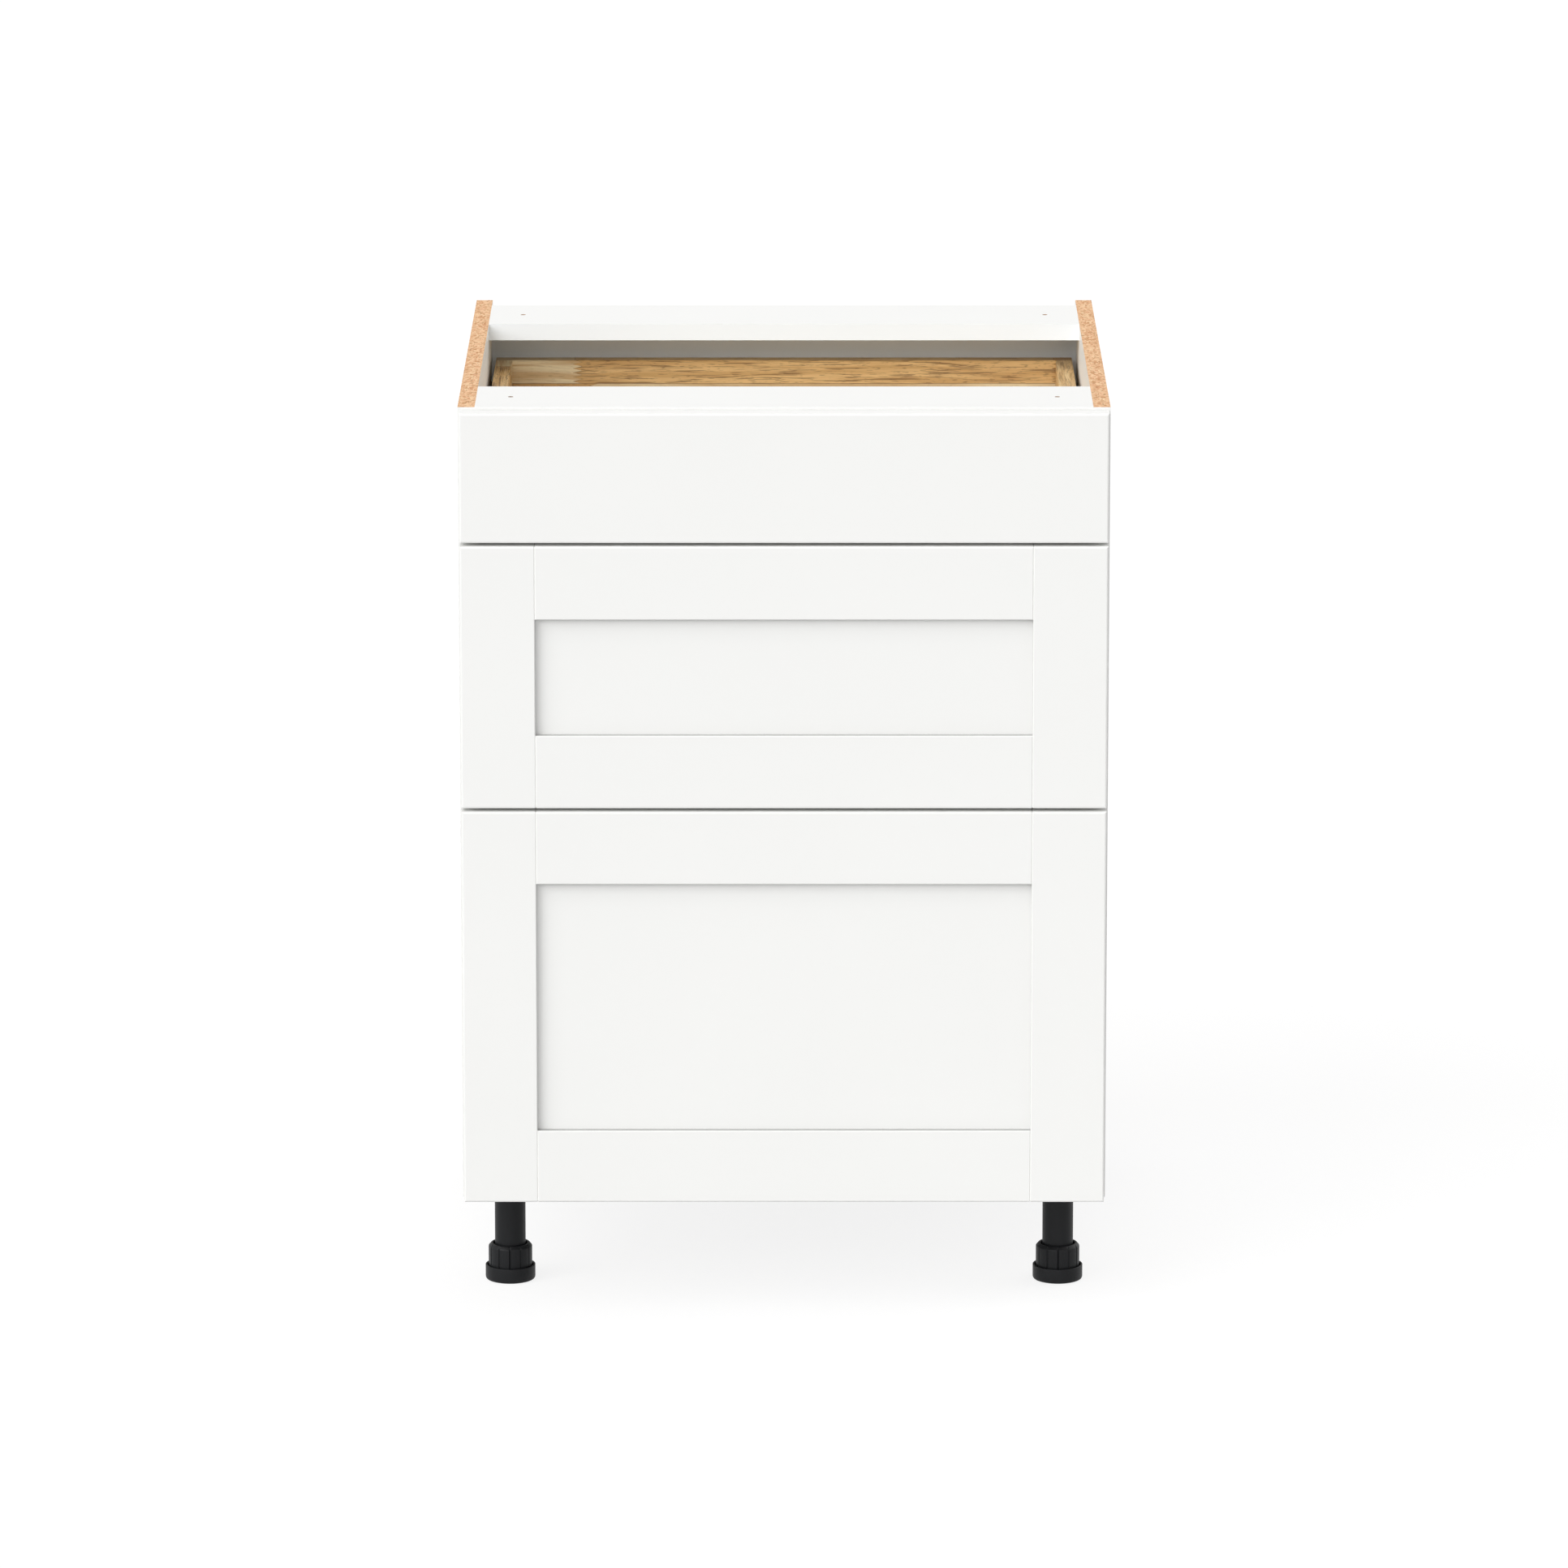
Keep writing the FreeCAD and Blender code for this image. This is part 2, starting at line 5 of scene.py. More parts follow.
import bpy
from bpy.props import FloatProperty, FloatVectorProperty, IntProperty, PointerProperty
from mathutils import Matrix, Vector


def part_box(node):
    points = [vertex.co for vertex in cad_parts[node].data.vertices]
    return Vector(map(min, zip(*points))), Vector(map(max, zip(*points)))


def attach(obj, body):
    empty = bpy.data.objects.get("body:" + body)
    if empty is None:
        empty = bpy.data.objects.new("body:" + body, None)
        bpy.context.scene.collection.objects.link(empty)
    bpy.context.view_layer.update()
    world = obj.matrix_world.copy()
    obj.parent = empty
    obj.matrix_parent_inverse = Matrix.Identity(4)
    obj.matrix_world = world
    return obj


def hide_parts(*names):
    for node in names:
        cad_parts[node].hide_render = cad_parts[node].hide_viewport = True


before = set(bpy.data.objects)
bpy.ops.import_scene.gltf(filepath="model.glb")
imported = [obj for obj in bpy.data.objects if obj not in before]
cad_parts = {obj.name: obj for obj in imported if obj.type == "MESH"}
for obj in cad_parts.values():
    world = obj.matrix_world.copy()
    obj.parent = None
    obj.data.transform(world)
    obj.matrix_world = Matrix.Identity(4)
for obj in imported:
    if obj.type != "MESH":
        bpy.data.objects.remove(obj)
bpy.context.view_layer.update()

bl_info = {
    "name": "Drawer Base Cabinet Finish",
    "version": (1, 0, 0),
    "blender": (4, 5, 0),
    "location": "3D View > Sidebar > Cabinet",
    "description": "Boards, lacquer, wood, steel and plastics of a three-drawer base cabinet",
    "category": "Object",
}

DRAWERS = ("top", "middle", "bottom")
LEGS = ("front_left", "front_right", "rear_left", "rear_right")
MM = 0.001


def linear(colour):
    """Linear RGB of an sRGB hex colour."""
    parts = [int(colour[at:at + 2], 16) / 255 for at in (1, 3, 5)]
    return tuple(part / 12.92 if part <= 0.04045 else ((part + 0.055) / 1.055) ** 2.4 for part in parts)


# Settings that a user would change

def colour_setting(name, description, colour):
    """A colour property whose default is an sRGB hex colour."""
    return FloatVectorProperty(name=name, description=description, default=linear(colour),
                               subtype="COLOR", size=3, min=0, max=1)


def length_setting(name, description, millimetres):
    """A length property whose default is given in millimetres."""
    return FloatProperty(name=name, description=description, default=millimetres * MM, min=0,
                         unit="LENGTH", precision=5)


def light_setting(name, description, share):
    """A lamp's light, as a share of what renders a colour as it is written."""
    return FloatProperty(name=name, description=description, default=share, min=0, soft_max=1,
                         subtype="FACTOR")


class CabinetColours(bpy.types.PropertyGroup):
    """Colours of the cabinet's materials."""
    melamine: colour_setting("Melamine", "Faces of the carcass boards", "#F6F6F4")
    back_foil: colour_setting("Back foil", "Inner face of the back panel, and edge bands", "#F6FBFF")
    chip_light: colour_setting("Light chips", "Lightest wood chips of a raw board edge", "#F5D1A6")
    chip_red: colour_setting("Red chips", "Reddest wood chips of a raw board edge", "#E7AB82")
    chip_dark: colour_setting("Dark chips", "Darkest wood chips of a raw board edge", "#C38B59")
    lacquer: colour_setting("Lacquer", "Drawer fronts", "#F6F6F4")
    fibreboard: colour_setting("Fibreboard", "Raw rear face of the back panel", "#B08A60")
    wood_light: colour_setting("Light staves", "Lightest staves of the drawer boxes", "#F1E2BE")
    wood_middle: colour_setting("Middle staves", "Usual staves of the drawer boxes", "#EAC68C")
    wood_dark: colour_setting("Dark staves", "Darkest staves of the drawer boxes", "#CDA063")
    wood_streak: colour_setting("Streaks", "Brown streaks of the heartwood", "#5F3B1C")
    zinc: colour_setting("Zinc plating", "Runners and fittings", "#C4C7C9")
    ply_light: colour_setting("Light veneer", "Lightest figure of the drawer bases", "#F3E8D2")
    ply_dark: colour_setting("Dark veneer", "Darkest figure of the drawer bases", "#E4D0AE")
    leg: colour_setting("Leg plastic", "Legs, collars and feet", "#121315")
    latch: colour_setting("Latch plastic", "Latches under the drawers", "#6C6F72")
    floor: colour_setting("Floor", "Studio floor, as the light finds it", "#C4C4C4")


class CabinetSizes(bpy.types.PropertyGroup):
    """Sizes of patterns and small details."""
    chip_length: length_setting("Chip length", "Wood chips of the raw board edges", 6.0)
    stave_height: length_setting("Stave height", "Staves of the drawer boxes", 43.0)
    top_stave: length_setting("Top stave", "What is left of each board's highest stave", 23.2)
    stave_length: length_setting("Stave length", "Pieces joined end to end in one stave", 472.0)
    finger_length: length_setting("Finger length", "Teeth of the joints between pieces", 9.0)
    finger_pitch: length_setting("Finger pitch", "Distance between those teeth", 4.3)
    screw_pitch: length_setting("Screw pitch", "Thread of the wood screws", 1.4)
    recess_reach: length_setting("Cross recess", "Reach of a screw head's cross recess", 1.9)
    recess_width: length_setting("Recess width", "Width of the cross recess's slots", 0.9)


class CabinetLegs(bpy.types.PropertyGroup):
    """Sizes of the legs' turned and moulded shapes."""
    tube_radius: length_setting("Tube radius", "Outside of the fixed tube", 14.8)
    bore_radius: length_setting("Bore radius", "Inside of the fixed tube", 9.1)
    flange_thickness: length_setting("Flange thickness", "Plate that is screwed to the underside", 4.0)
    gusset_reach: length_setting("Gusset reach", "Outer end of the stiffening ribs", 27.0)
    gusset_height: length_setting("Gusset height", "Height of those ribs under the plate", 18.0)
    gusset_thickness: length_setting("Gusset thickness", "Thickness of those ribs", 2.4)
    collar_radius: length_setting("Collar radius", "Outside of the grip", 21.0)
    collar_high: length_setting("Collar top", "Top of the grip above the floor", 36.0)
    collar_top_radius: length_setting("Collar top radius", "Rim of the grip's sloped top", 18.4)
    collar_slope: length_setting("Collar slope", "Height of that slope", 3.0)
    recess_radius: length_setting("Recess radius", "Hollow in the top of the grip", 16.6)
    recess_floor: length_setting("Recess floor", "Floor of that hollow above the ground", 20.0)
    groove_width: length_setting("Groove width", "Grooves between the grip's lands", 1.8)
    groove_depth: length_setting("Groove depth", "Depth of those grooves", 0.9)
    spindle_radius: length_setting("Spindle radius", "Outside of the spindle's thread", 9.0)
    thread_pitch: length_setting("Spindle pitch", "Rise of the spindle in one turn", 4.0)
    thread_depth: length_setting("Thread depth", "Depth of the spindle's thread", 1.1)
    foot_wall: length_setting("Foot wall", "Wall of the foot cup", 1.7)
    foot_floor: length_setting("Foot floor", "Floor of the foot cup", 3.0)
    foot_round: length_setting("Foot rounding", "Rounding under the foot cup", 3.4)
    edge_round: length_setting("Edge rounding", "Rounding of the moulded edges", 0.5)
    lands: IntProperty(name="Lands", description="Flat lands around the grip", default=12, min=3)


class CabinetStudio(bpy.types.PropertyGroup):
    """The view and the light."""
    distance: FloatProperty(name="Distance", description="From the drawer fronts to the camera",
                            default=8.9195, unit="LENGTH")
    height: FloatProperty(name="Height", description="Of the camera above the floor",
                          default=2.5136, unit="LENGTH")
    tilt: FloatProperty(name="Tilt", description="Of the view below the horizon",
                        default=math.radians(12.595), subtype="ANGLE")
    lens: FloatProperty(name="Lens", description="Focal length in millimetres on a 36 mm frame",
                        default=223.5, unit="CAMERA")
    sky: light_setting("Sky", "Even light from the whole room", 0.44)
    key: light_setting("Key light", "Soft light from above the left front", 0.57)
    front: light_setting("Front light", "Low soft light from beside the camera", 0.16)
    top: light_setting("Top light", "Soft light from overhead", 0.10)
    back: light_setting("Back light", "Weak soft light from behind the right side", 0.20)


# Nodes and materials

WHITE = (1, 1, 1, 1)


def add(tree, kind, sources=(), output=0, ramp=(), **settings):
    """Add a node with its settings; sources feed its sockets from values or other nodes' sockets.

    Sources go to sockets by name, or in order to those that the settings leave in use. Gives back
    the named output or the numbered one of those in use, or the whole node where output is None.
    """
    node = tree.nodes.new("ShaderNode" + kind)
    for key, value in settings.items():
        setattr(node, key, value)
    if isinstance(sources, dict):
        fed = [(node.inputs[key], source) for key, source in sources.items()]
    else:
        fed = zip([socket for socket in node.inputs if socket.enabled], sources)
    for socket, source in fed:
        if isinstance(source, bpy.types.NodeSocket):
            tree.links.new(source, socket)
        else:
            socket.default_value = source
    if ramp:
        stops = node.color_ramp.elements
        while len(stops) < len(ramp):
            stops.new(1.0)
        for stop, (position, colour) in zip(stops, ramp):
            stop.position = position
            stop.color = colour
    if output is None:
        return node
    if isinstance(output, str):
        return node.outputs[output]
    return [socket for socket in node.outputs if socket.enabled][output]


def new_material(name, **surface):
    """A material whose Principled shader holds the given constant values."""
    material = bpy.data.materials.new(name)
    material.use_nodes = True
    shader = material.node_tree.nodes["Principled BSDF"]
    for socket, value in surface.items():
        shader.inputs[socket.replace("_", " ")].default_value = value
    return material, material.node_tree, shader


def rgba(colour, shade=1.0):
    """A colour setting with its alpha, made darker or lighter by a factor."""
    return (*(min(1.0, part * shade) for part in colour), 1.0)


def placed(tree, size_mm, where=None):
    """Coordinates scaled to count in steps of size_mm along X, Y and Z, the piece's own by default."""
    if where is None:
        where = add(tree, "TexCoord", output="Object")
    return add(tree, "Mapping", {"Vector": where, "Scale": [1 / (MM * size) for size in size_mm]})


def mottled(tree, size_mm, detail=0.0, roughness=0.5, distortion=0.0, where=None):
    """A random pattern whose features are about size_mm along X, Y and Z."""
    return add(tree, "TexNoise", {"Vector": placed(tree, size_mm, where), "Scale": 1.0, "Detail": detail,
                                  "Roughness": roughness, "Distortion": distortion})


def surfaced(tree, shader, colour, roughness=None, height=None, depth_mm=0.0):
    """Feed the shader's colour, and its roughness and relief where given; a negative depth sinks."""
    tree.links.new(colour, shader.inputs["Base Color"])
    if roughness is not None:
        tree.links.new(roughness, shader.inputs["Roughness"])
    if height is not None:
        relief = add(tree, "Bump", {"Height": height, "Distance": abs(depth_mm) * MM}, invert=depth_mm < 0)
        tree.links.new(relief, shader.inputs["Normal"])


def melamine_board(name, colour):
    """Melamine-faced board: paper pressed flat in resin, so an even, dense satin white."""
    material, tree, shader = new_material(name, Roughness=0.4, IOR=1.5)
    cloud = mottled(tree, (90, 90, 90))
    clouded = add(tree, "Mix", (cloud, rgba(colour), rgba(colour, 0.985)), data_type="RGBA")
    # The press plate's grain is about 0.5 mm and is drawn at 1.6 mm, so that it shows at all.
    surfaced(tree, shader, clouded, height=mottled(tree, (1.6, 1.6, 1.6), detail=2.0), depth_mm=0.012)
    return material


def raw_particleboard(name, shade=1.0):
    """Sawn particleboard: pressed chips, coarse in the middle and fine as dust near both faces."""
    colours = bpy.context.scene.cabinet_colours
    chip = bpy.context.scene.cabinet_sizes.chip_length / MM
    material, tree, shader = new_material(name, Roughness=0.85, IOR=1.45)
    # Chips lie flat in the board, so they are short across its thickness, which is X in a side panel.
    chips = add(tree, "TexVoronoi", {"Vector": placed(tree, (0.4 * chip, chip, chip)), "Scale": 1.0},
                output="Color")
    lightness, redness, _ = add(tree, "SeparateColor", (chips,), output=None).outputs
    dust = mottled(tree, (2.2, 6.0, 2.2), detail=3.0, roughness=0.7, distortion=0.6)
    dusting = add(tree, "Math", (dust, 0.6), operation="MULTIPLY")
    coarse = add(tree, "Math", (lightness, 0.4, dusting), operation="MULTIPLY_ADD")

    # The fine layers take over about a third of the thickness away from its middle, in both panels.
    low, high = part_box("side_panel_right")
    thickness = high.x - low.x
    across = add(tree, "SeparateXYZ", (add(tree, "TexCoord", output="Object"),))
    either = add(tree, "Math", (across,), operation="ABSOLUTE")
    beyond = add(tree, "Math", (either, (low.x + high.x) / 2), operation="SUBTRACT")
    away = add(tree, "Math", (beyond,), operation="ABSOLUTE")
    skin = add(tree, "MapRange", (away, thickness * 0.30, thickness * 0.38, 0.0, 0.6))

    tone = add(tree, "Mix", (skin, coarse, dust))
    middle = [(3 * light + 2 * dark) / 5 for light, dark in zip(colours.chip_light, colours.chip_dark)]
    colour = add(tree, "ValToRGB", (tone,), ramp=[(0.30, rgba(colours.chip_dark, shade)),
                                                  (0.46, rgba(middle, shade)),
                                                  (0.62, rgba(colours.chip_light, shade))])
    blush = add(tree, "Math", (redness, 0.5), operation="MULTIPLY")
    blushed = add(tree, "Mix", (blush, colour, rgba(colours.chip_red, shade)), data_type="RGBA")
    pit = add(tree, "MapRange", (mottled(tree, (3.0, 7.0, 3.0), detail=1.0), 0.60, 0.68, 0.0, 0.5))
    pitted = add(tree, "Mix", (pit, blushed, rgba(colours.chip_dark, 0.62 * shade)), data_type="RGBA")
    height = add(tree, "Math", (coarse, pit), operation="SUBTRACT")
    surfaced(tree, shader, pitted, height=height, depth_mm=0.3)
    return material


def satin_lacquer(name, shade=1.0):
    """Fibreboard sprayed with satin lacquer: very even, with the faint orange peel of spraying."""
    lacquer = bpy.context.scene.cabinet_colours.lacquer
    material, tree, shader = new_material(name, Roughness=0.36, IOR=1.5)
    drift = mottled(tree, (140, 140, 140))
    drifted = add(tree, "Mix", (drift, rgba(lacquer, shade), rgba(lacquer, 0.985 * shade)), data_type="RGBA")
    surfaced(tree, shader, drifted, height=mottled(tree, (2.4, 2.4, 2.4), detail=1.5), depth_mm=0.008)
    return material


def raw_fibreboard():
    """Hardboard's unfaced side: felted brown fibres, left matt by the press screen."""
    fibreboard = bpy.context.scene.cabinet_colours.fibreboard
    material, tree, shader = new_material("hardboard_felted_raw", Roughness=0.8, IOR=1.45)
    # The felt's fibres are about 0.2 mm thick and are drawn at 1.6 mm, so that they show at all.
    fibres = mottled(tree, (1.6, 1.6, 1.6), detail=4.0, roughness=0.75)
    colour = add(tree, "ValToRGB", (fibres,), ramp=[(0.3, rgba(fibreboard, 0.66)), (0.7, rgba(fibreboard))])
    surfaced(tree, shader, colour, height=fibres, depth_mm=0.06)
    return material


def jointed_rubberwood(name, grain, top, first_joint, first_tone, shade=1.0):
    """Rubberwood: short pieces finger-jointed into staves, planed and lacquered clear.

    grain is 0 or 1, for X or Y; top is the board's highest level. first_joint is where the top
    stave's pieces meet, and first_tone is how light its piece beyond that joint is, from 0 to 1.
    """
    colours = bpy.context.scene.cabinet_colours
    sizes = bpy.context.scene.cabinet_sizes
    material, tree, shader = new_material(name, IOR=1.5)
    own = add(tree, "TexCoord", output="Object")
    parts = add(tree, "SeparateXYZ", (own,), output=None)
    along, height = parts.outputs[grain], parts.outputs[2]

    # Staves are counted down from the top edge, and pieces along each stave.
    down = add(tree, "Math", (top + sizes.stave_height - sizes.top_stave, height), operation="SUBTRACT")
    rows = add(tree, "Math", (down, sizes.stave_height), operation="DIVIDE")
    row = add(tree, "Math", (rows,), operation="FLOOR")
    tooth = add(tree, "Math", (down, sizes.finger_pitch / 2), operation="PINGPONG")
    steepness = 2 * sizes.finger_length / sizes.finger_pitch
    zigzag = add(tree, "Math", (tooth, steepness, along), operation="MULTIPLY_ADD")
    start = add(tree, "Math", (zigzag, first_joint + sizes.finger_length / 2), operation="SUBTRACT")
    # Each stave's joints are shifted by a share of a piece that doesn't repeat from stave to stave.
    uneven = add(tree, "Math", (row, 0.31, 0.655), operation="MULTIPLY_ADD")
    shift = add(tree, "Math", (row, uneven), operation="MULTIPLY")
    columns = add(tree, "Math", (start, 1 / sizes.stave_length, shift), operation="MULTIPLY_ADD")
    column = add(tree, "Math", (columns,), operation="FLOOR")
    # The whole steps added to the first tone keep every sum above zero.
    row_step = add(tree, "Math", (row, 0.85, first_tone + 16.0), operation="MULTIPLY_ADD")
    step = add(tree, "Math", (column, 0.55, row_step), operation="MULTIPLY_ADD")
    tone = add(tree, "Math", (step,), operation="FRACT")

    # Each piece's figure is cut up to 7 m away in the tree, where it sways across the grain.
    away = add(tree, "Math", (tone, 7.0), operation="MULTIPLY")
    elsewhere = add(tree, "CombineXYZ", (away, away, away))
    cut = add(tree, "VectorMath", (own, elsewhere), operation="ADD")

    def figure(where, along_mm, across_mm, detail, distortion=0.0):
        size = [across_mm] * 3
        size[grain] = along_mm
        return mottled(tree, size, detail, 0.6, distortion, where)

    sway = add(tree, "Math", (figure(cut, 110, 40, 1.0), 8 * MM), operation="MULTIPLY")
    swayed = add(tree, "CombineXYZ", {1 - grain: sway, 2: sway})
    bent = add(tree, "VectorMath", (cut, swayed), operation="ADD")
    bands = add(tree, "MapRange", (figure(bent, 190, 6.0, 2.0, 0.3), 0.42, 0.58, 0.0, 0.62))
    streaks = add(tree, "MapRange", (figure(bent, 55, 1.6, 2.0, 0.2), 0.55, 0.60, 0.0, 0.80))
    # Fibres and vessel lines are 0.1 and 0.3 mm wide and are drawn at 1.2 and 1 mm, so that they show.
    fibres = add(tree, "MapRange", (figure(bent, 26, 1.2, 2.0), 0.35, 0.65))
    vessels = add(tree, "MapRange", (figure(bent, 9, 1.0, 1.0), 0.60, 0.68))

    # Darker pieces are from nearer the heart, with more brown in their streaks and vessels.
    heart = add(tree, "MapRange", (tone, 0.3, 0.85, 1.0, 0.10))
    faint = add(tree, "Math", (fibres, 0.16), operation="MULTIPLY")
    brown = add(tree, "Math", (streaks, heart), operation="MULTIPLY")
    filling = add(tree, "Math", (heart, 0.40, 0.14), operation="MULTIPLY_ADD")
    lines = add(tree, "Math", (filling, vessels), operation="MULTIPLY")
    colour = add(tree, "ValToRGB", (tone,), ramp=[(0.1, rgba(colours.wood_dark, shade)),
                                                  (0.5, rgba(colours.wood_middle, shade)),
                                                  (0.9, rgba(colours.wood_light, shade))])
    for factor, tint in ((bands, rgba(colours.wood_dark, 0.9 * shade)),
                         (faint, rgba(colours.wood_dark, 0.6 * shade)),
                         (brown, rgba(colours.wood_streak, shade)),
                         (lines, rgba(colours.wood_streak, 0.7 * shade))):
        colour = add(tree, "Mix", (factor, colour, tint), data_type="RGBA")

    # Glue lines: thin, dark and slightly sunk
    beside = add(tree, "Math", (rows, 0.5), operation="PINGPONG")
    side_gap = add(tree, "Math", (beside, sizes.stave_height), operation="MULTIPLY")
    beyond = add(tree, "Math", (columns, 0.5), operation="PINGPONG")
    end_gap = add(tree, "Math", (beyond, sizes.stave_length), operation="MULTIPLY")
    nearest = add(tree, "Math", (side_gap, end_gap), operation="MINIMUM")
    glue = add(tree, "MapRange", (nearest, 0.2 * MM, 0.6 * MM, 0.5, 0.0))
    glued = add(tree, "Mix", (glue, colour, rgba(colours.wood_streak)), data_type="RGBA")
    roughness = add(tree, "MapRange", (fibres, 0.0, 1.0, 0.36, 0.48))
    sunk = add(tree, "Math", (fibres, 0.3, glue), operation="MULTIPLY_ADD")
    sunk = add(tree, "Math", (vessels, sunk), operation="ADD")
    surfaced(tree, shader, glued, roughness, sunk, -0.05)
    return material


def end_grain():
    """Rubberwood sawn across: darker than its faces, with growth bands and open pores."""
    colours = bpy.context.scene.cabinet_colours
    material, tree, shader = new_material("rubberwood_end_grain", Roughness=0.6, IOR=1.5)
    bands = mottled(tree, (9, 9, 3.5), detail=3.0)
    # Pores are about 0.2 mm across and are drawn 1.1 mm apart, so that they show at all.
    pores = add(tree, "TexVoronoi", {"Vector": placed(tree, (1.1, 1.1, 1.1)), "Scale": 1.0})
    pore = add(tree, "MapRange", (pores, 0.1, 0.28, 0.6, 0.0))
    colour = add(tree, "ValToRGB", (bands,), ramp=[(0.3, rgba(colours.wood_dark, 0.8)),
                                                   (0.7, rgba(colours.wood_middle, 0.86))])
    pitted = add(tree, "Mix", (pore, colour, rgba(colours.wood_dark, 0.5)), data_type="RGBA")
    surfaced(tree, shader, pitted, height=pore, depth_mm=-0.05)
    return material


def birch_ply():
    """Birch plywood: rotary-cut veneer with a wide, cloudy figure, lacquered clear."""
    colours = bpy.context.scene.cabinet_colours
    material, tree, shader = new_material("birch_plywood_lacquered", Roughness=0.4, IOR=1.5)
    figure = mottled(tree, (150, 16, 16), detail=3.0, distortion=1.2)
    # Fibres are about 0.1 mm wide and are drawn at 1.4 mm, so that they show at all.
    fibres = mottled(tree, (30, 1.4, 1.4), detail=2.0)
    colour = add(tree, "ValToRGB", (figure,), ramp=[(0.35, rgba(colours.ply_dark)),
                                                    (0.62, rgba(colours.ply_light))])
    faint = add(tree, "MapRange", (fibres, 0.48, 0.72, 0.0, 0.25))
    grained = add(tree, "Mix", (faint, colour, rgba(colours.ply_dark, 0.7)), data_type="RGBA")
    surfaced(tree, shader, grained, height=fibres, depth_mm=0.02)
    return material


def turned_beech():
    """Beech dowels: pale pink-brown wood turned along the grain, with short dark flecks."""
    colours = bpy.context.scene.cabinet_colours
    material, tree, shader = new_material("beech_turned", Roughness=0.6, IOR=1.5)
    flecks = add(tree, "MapRange", (mottled(tree, (5, 0.9, 0.9), detail=1.0), 0.58, 0.68, 0.0, 0.5))
    flecked = add(tree, "Mix", (flecks, rgba(colours.wood_middle), rgba(colours.wood_dark, 0.55)),
                  data_type="RGBA")
    surfaced(tree, shader, flecked, height=flecks, depth_mm=-0.03)
    return material


def zinc_plated(name, streak_mm, roughness):
    """Zinc-plated steel, bright and faintly blue, with the rolling's or forming's fine streaks."""
    zinc = bpy.context.scene.cabinet_colours.zinc
    material, tree, shader = new_material(name, Metallic=1.0)
    streaks = mottled(tree, streak_mm, detail=3.0)
    bloom = mottled(tree, (22, 22, 22), detail=2.0)
    bloomed = add(tree, "Mix", (bloom, rgba(zinc), rgba(zinc, 0.78)), data_type="RGBA")
    sheen = add(tree, "MapRange", (streaks, 0.3, 0.7, roughness - 0.07, roughness + 0.1))
    surfaced(tree, shader, bloomed, sheen, streaks, 0.004)
    return material


def moulded_plastic(name, colour, roughness, grain_mm, depth_mm):
    """A moulded plastic, dull from the spark-eroded grain of its mould and cloudy where it flowed.

    The grain is about 0.1 mm and is drawn at grain_mm, so that it shows at all.
    """
    material, tree, shader = new_material(name, IOR=1.49, Specular_IOR_Level=0.22)
    grain = mottled(tree, (grain_mm, grain_mm, grain_mm), detail=2.0)
    flow = mottled(tree, (12, 12, 30))
    flowed = add(tree, "Mix", (flow, rgba(colour), rgba(colour, 1.3)), data_type="RGBA")
    sheen = add(tree, "MapRange", (grain, 0.3, 0.7, roughness - 0.06, roughness + 0.08))
    surfaced(tree, shader, flowed, sheen, grain, depth_mm)
    return material


# Mesh work. A part is a list of points and a list of faces.

def eased(profile, reach, steps=4):
    """An open profile of (radius, height) with its corners rounded over a short reach."""
    points = [Vector(point) for point in profile]
    smooth = [points[0]]
    for before, corner, after in zip(points, points[1:], points[2:]):
        back, ahead = before - corner, after - corner
        start = corner + back.normalized() * min(reach, back.length / 2)
        end = corner + ahead.normalized() * min(reach, ahead.length / 2)
        for step in range(steps + 1):
            share = step / steps
            smooth.append(start * (1 - share) ** 2 + corner * 2 * share * (1 - share) + end * share ** 2)
    smooth.append(points[-1])
    return [tuple(point) for point in smooth]


def even_angles(sides):
    """Angles all round, the first of them half a side past X."""
    return [2 * math.pi * (number + 0.5) / sides for number in range(sides)]


def turned(profile, angles, radius_at=None, closed=False):
    """A part turned about Z from a profile of (radius, height), capped unless it is closed.

    radius_at(radius, angle, height) may alter each point's radius.
    """
    points = []
    for radius, height in profile:
        for angle in angles:
            reach = radius_at(radius, angle, height) if radius_at else radius
            points.append(Vector((reach * math.cos(angle), reach * math.sin(angle), height)))
    sides, rings = len(angles), len(profile)
    faces = []
    for ring in range(rings if closed else rings - 1):
        here, above = ring * sides, (ring + 1) % rings * sides
        for side in range(sides):
            after = (side + 1) % sides
            faces.append([here + side, here + after, above + after, above + side])
    if not closed:
        faces.append(list(range(sides))[::-1])
        faces.append(list(range(len(points) - sides, len(points))))
    return points, faces


def oblong(half_x, half_y, height):
    """The corners of a level rectangle about Z, anticlockwise from above."""
    shares = ((-1, -1), (1, -1), (1, 1), (-1, 1))
    return [Vector((x * half_x, y * half_y, height)) for x, y in shares]


def swept(outline, sweep):
    """A flat polygon swept along a vector; it runs anticlockwise as seen from the far end."""
    count = len(outline)
    points = list(outline) + [point + sweep for point in outline]
    faces = [list(range(count))[::-1], list(range(count, 2 * count))]
    for side in range(count):
        after = (side + 1) % count
        faces.append([side, after, after + count, side + count])
    return points, faces


def moved(part, matrix):
    """The part moved by a matrix."""
    points, faces = part
    return [matrix @ point for point in points], faces


def merged(parts):
    """Several parts as one."""
    points, faces = [], []
    for some, around in parts:
        shift = len(points)
        points += some
        faces += [[shift + index for index in face] for face in around]
    return points, faces


def mesh_of(name, part):
    """A mesh with a part's points and faces."""
    mesh = bpy.data.meshes.new(name)
    mesh.from_pydata([tuple(point) for point in part[0]], [], part[1])
    return mesh


